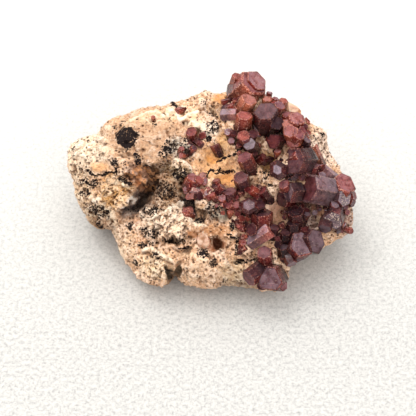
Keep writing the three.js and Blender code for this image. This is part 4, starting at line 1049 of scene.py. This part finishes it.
def toned(shell, tone, frost_and_sheen, random):
    """A shell with its tone, a little different on each side, and its frost, which is partly painted
    sheen:
    mostly on the end, or on the sides where it is negative, with a thin film of painted sheen and dust on
    every face that looks up the rock."""
    points, triangles, looks = shell
    outward, side = looks.pop("outward"), looks.pop("side")
    on_end = side == 6
    dust_and_sheen_film = DUST_AND_SHEEN_FILM * smooth(outward @ DUST_AND_SHEEN_WAY, 0.35, 0.90) * ~on_end
    dust_and_sheen_film = min(1, 0.06 + 1.7 * tone) * (dust_and_sheen_film + np.clip(random.normal(-0.04, 0.14, 7), 0, 0.2)[side])
    looks["tone"] = tone + random.normal(0, 0.10, 7)[side]
    end_frost_and_sheen = frost_and_sheen * (0.06 + 0.94 * on_end)
    side_frost_and_sheen = -frost_and_sheen * np.where(
        on_end, 0.3, 0.48 + 0.52 * smooth(outward @ DUST_AND_SHEEN_WAY, -0.4, 0.8))
    looks["frost_and_sheen"] = dust_and_sheen_film + (end_frost_and_sheen if frost_and_sheen > 0 else side_frost_and_sheen)
    return points, triangles, looks


def placed_crystal(row, random):
    """A crystal of the table on the rock: its axis leans as its row says, its seat lies on the line
    of sight through its root, and the root reaches into the rock."""
    u, v, radius, length, lean, toward, turned, tone, frost_and_sheen = row
    tilt, heading = math.radians(lean), math.radians(toward)
    axis = np.array([
        math.sin(tilt) * math.cos(heading), math.sin(tilt) * math.sin(heading), math.cos(tilt)])
    root = radius * (ROOT_DEPTH + UPRIGHT_ROOT_DEPTH * axis[2])
    shell = crystal_shell(
        radius, length, root, random, radius < SMALL_RADIUS, SET_BEVELS.get((u, v)))
    seat, _ = seat_at(u - length * axis[0], v - length * axis[1])
    stood = stood_up(shell, seat - root * axis, axis, math.radians(turned))
    return toned(stood, tone, frost_and_sheen, random)


def joined(shells, random):
    """Several shells as one mesh in metres: points stacked, triangle numbers moved up and looks
    stacked, with the growth lines of each started at a place of their own."""
    counts = np.cumsum([0] + [len(points) for points, _, _ in shells])
    looks = {key: np.concatenate([shell[2][key] for shell in shells]) for key in shells[0][2]}
    owner = np.repeat(np.arange(len(shells)), np.diff(counts))
    looks["grown"] += random.uniform(0, 90, (len(shells), 3))[owner]
    triangles = [shell[1] + start for shell, start in zip(shells, counts)]
    return to_part(np.vstack([points for points, _, _ in shells])), np.vstack(triangles), looks


# Vanadinite with resinous growth faces: a dark wine-red body with orange patches, partly painted glow,
# soft reflections, a grey-mauve frost that is partly painted sheen, fine growth lines along and across
# its sides, pale worn edges with painted highlight, painted shade at the roots, and dust.
BODY_SHADES = ((0.0, "#15030a"), (0.25, "#3a070d"), (0.5, "#621213"), (0.75, "#862f1d"), (1.0, "#a0553c"))

vanadinite, tree, place = new_material("vanadinite_resinous_growth_faces")
wear_and_highlight_value, tone_value, frost_and_sheen_value, height_value, middle_value = (
    add_node(tree, "Attribute", attribute_name=name).outputs["Fac"]
    for name in ("wear_and_edge_highlight", "tone", "frost_and_sheen", "height", "middle"))
grown_place = add_node(tree, "Attribute", attribute_name="grown").outputs["Vector"]
# Noise by the size of its grains in millimetres, its detail and its roughness.
clouds, specks, grains, waves = (
    add_node(tree, "TexNoise", {
        "Vector": place, "Scale": 1 / (grain_mm * MM), "Detail": detail, "Roughness": roughness})
    for grain_mm, detail, roughness in (
        (1.6, 4.0, 0.6), (0.30, 2.0, 0.55), (0.32, 3.0, 0.7), (2.4, 2.0, 0.55)))
# Growth lines are noise stretched along a face: lengthwise ones for colour, level ones for relief.
streaks, ridges = (
    add_node(tree, "TexNoise", {
        "Vector": add_node(tree, "Mapping", {"Vector": grown_place, "Scale": lines_per_mm}),
        "Scale": 1.0, "Detail": 3.0})
    for lines_per_mm in ((5.0, 0.7, 1.0), (0.5, 5.0, 1.0)))

body = add_node(tree, "ValToRGB", {"Fac": tone_value})
for position, _ in BODY_SHADES[1:-1]:
    body.color_ramp.elements.new(position)
for element, (_, shade) in zip(body.color_ramp.elements, BODY_SHADES):
    element.color = (*linear(shade), 1)
# Orange patches and streaks, partly colour and partly painted glow of light inside: the palest bodies
# glow most, and nearly black ones hardly.
painted_glow = (tone_value, 0.0, 0.6, 0.10, 1.0)

# Frost is grey-mauve, paler where it is thick, and paints the sheen of faces turned to the lights.
# Past 1.1 it turns to a grainy crust of dust instead.
frost_and_sheen_tone = coated(tree, "#8d7880", "#a99aa6", (frost_and_sheen_value, 0.8, 1.2))
frost_and_sheen_coat = product(
    tree, frost_and_sheen_value, (clouds, 0.32, 0.62, 0.35, 1.1), (frost_and_sheen_value, 1.1, 1.5, 1.0, 0.25), 0.62)
thickest = add_node(tree, "Math", {0: frost_and_sheen_coat, 1: 0.9}, operation="MINIMUM")
dust = total_of(tree, grains, (product(tree, (frost_and_sheen_value, 1.1, 1.5)), 0.07))
surface = layered(tree, body, {
    "orange clouds": ("#9a4a33", painted_glow, (clouds, 0.50, 0.75, 0.0, 0.40)),
    "orange streaks": ("#b05a3c", painted_glow, (streaks, 0.50, 0.70, 0.0, 0.40)),
    "dark clouds": ("#1c0506", (clouds, 0.54, 0.34, 0.0, 0.50)),
    "darker edges of faces": ("#18050a", (middle_value, 0.9, 0.0, 0.0, 0.30)),
    # Darker towards the roots: painted shade, as where crystals crowd together.
    "painted shade at the roots": ("#120304", (height_value, 0.95, 0.30, 0.0, 0.80)),
    "dark specks": ("#120304", (specks, 0.50, 0.36, 0.0, 0.40)),
    "pale chips": ("#d08a6c", (specks, 0.56, 0.66), (tone_value, 0.55, 0.95, 0.02, 0.28)),
    # Grey-mauve frost: painted sheen, with frosting.
    "frost_and_sheen": (frost_and_sheen_tone, thickest),
    # Pale edges: wear, and a painted highlight where edges catch the light.
    "worn and painted-lit edges": (
        "#cf9a88", wear_and_highlight_value, (specks, 0.45, 0.65), (tone_value, 0.1, 0.7, 0.15, 0.60)),
    "dust": ("#d9c0ac", (dust, 0.60, 0.70), (frost_and_sheen_value, 0.1, 1.3, 0.0, 0.75)),
})

# Relief: level growth lines, fine grain and low terraces. A slow wave is cut into nine treads,
# joined by smooth risers.
levels = product(tree, waves, 9.0)
tread = add_node(tree, "Math", {0: levels}, operation="FLOOR")
riser = product(tree, (add_node(tree, "Math", {0: levels}, operation="FRACT"), 0.70, 1.0))
relief = total_of(tree, ridges, (specks, 0.5), (tread, 0.30), (riser, 0.30))
bump = add_node(tree, "Bump", {"Height": relief, "Strength": 0.65, "Distance": 0.12 * MM})
vanadinite_shader = add_node(tree, "BsdfPrincipled", {
    "Base Color": surface, "IOR": 1.55, "Specular IOR Level": 0.27, "Normal": bump,
    "Roughness": product(tree, (clouds, 0.35, 0.7, 0.06, 0.18)),
    "Subsurface Weight": 0.15, "Subsurface Radius": (1.0, 0.18, 0.08), "Subsurface Scale": 1.2 * MM})
add_node(tree, "OutputMaterial", {"Surface": vanadinite_shader})

for number, (node, rows) in enumerate(CRYSTALS.items()):
    random = np.random.default_rng(100 + number)
    shells = [placed_crystal(row, random) for row in rows]
    points, triangles, looks = joined(shells, random)
    cluster = new_piece(node + ".grown", points, triangles, vanadinite, False, **looks)
    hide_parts(node)


# ---------------------------------------------------------------- vanadinite crust
# Small vanadinite crystals, under 1 mm in radius, that crowd the rock between the large ones. They
# grew straight out of the rock, each tipped its own way. Lengths and roots are in radii.

CRUST_RADII = (0.32, 0.95)
CRUST_LENGTHS = (0.7, 1.9)
CRUST_ROOT = 0.9
CRUST_TIPPING = 0.38

random = np.random.default_rng(7)
crust_shells = []
for at_u, at_v, along, across, angle, count, darkest, palest, frost_and_sheen in CRUST:
    heading = math.radians(angle)
    for _ in range(count):
        reach, swing = math.sqrt(random.random()), random.uniform(0, 2 * math.pi)
        a, b = along * reach * math.cos(swing), across * reach * math.sin(swing)
        found = seat_at(
            at_u + a * math.cos(heading) - b * math.sin(heading),
            at_v + a * math.sin(heading) + b * math.cos(heading))
        if found is None:
            continue
        seat, normal = found
        axis = normal + random.normal(0, CRUST_TIPPING, 3)
        axis /= np.linalg.norm(axis)
        radius = random.uniform(*CRUST_RADII)
        root = CRUST_ROOT * radius
        length = radius * random.uniform(*CRUST_LENGTHS)
        shell = crystal_shell(radius, length, root, random, small=True)
        stood = stood_up(shell, seat - root * axis, axis, random.uniform(0, math.pi))
        tone = random.uniform(darkest, palest)
        crust_shells.append(toned(stood, tone, frost_and_sheen * random.uniform(0.4, 1.2) + 0.01, random))
points, triangles, looks = joined(crust_shells, random)
crust = new_piece("crust", points, triangles, vanadinite, False, **looks)


# ---------------------------------------------------------------- barite
# A blunt upright barite crystal in a hollow, glassy and pale, and a thin blade of it at the upper
# right edge. They are the solids of the plain model, with their own material.

# Barite with glassy cleavage faces: clouded by a brownish veil, and light scatters inside it.
barite, tree, place = new_material("barite_glassy_cleavage")
veil = add_node(tree, "TexNoise", {
    "Vector": place, "Scale": 1 / (1.5 * MM), "Detail": 4.0, "Roughness": 0.55})
barite_shader = add_node(tree, "BsdfPrincipled", {
    "Base Color": coated(tree, "#94684c", "#d0b09a", (veil, 0.35, 0.65)), "IOR": 1.64,
    "Roughness": 0.12, "Subsurface Weight": 0.5, "Subsurface Radius": (1.0, 0.5, 0.3),
    "Subsurface Scale": 2.0 * MM})
add_node(tree, "OutputMaterial", {"Surface": barite_shader})
for node in ("barite_crystal", "barite_blade"):
    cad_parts[node].data.materials.clear()
    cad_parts[node].data.materials.append(barite)
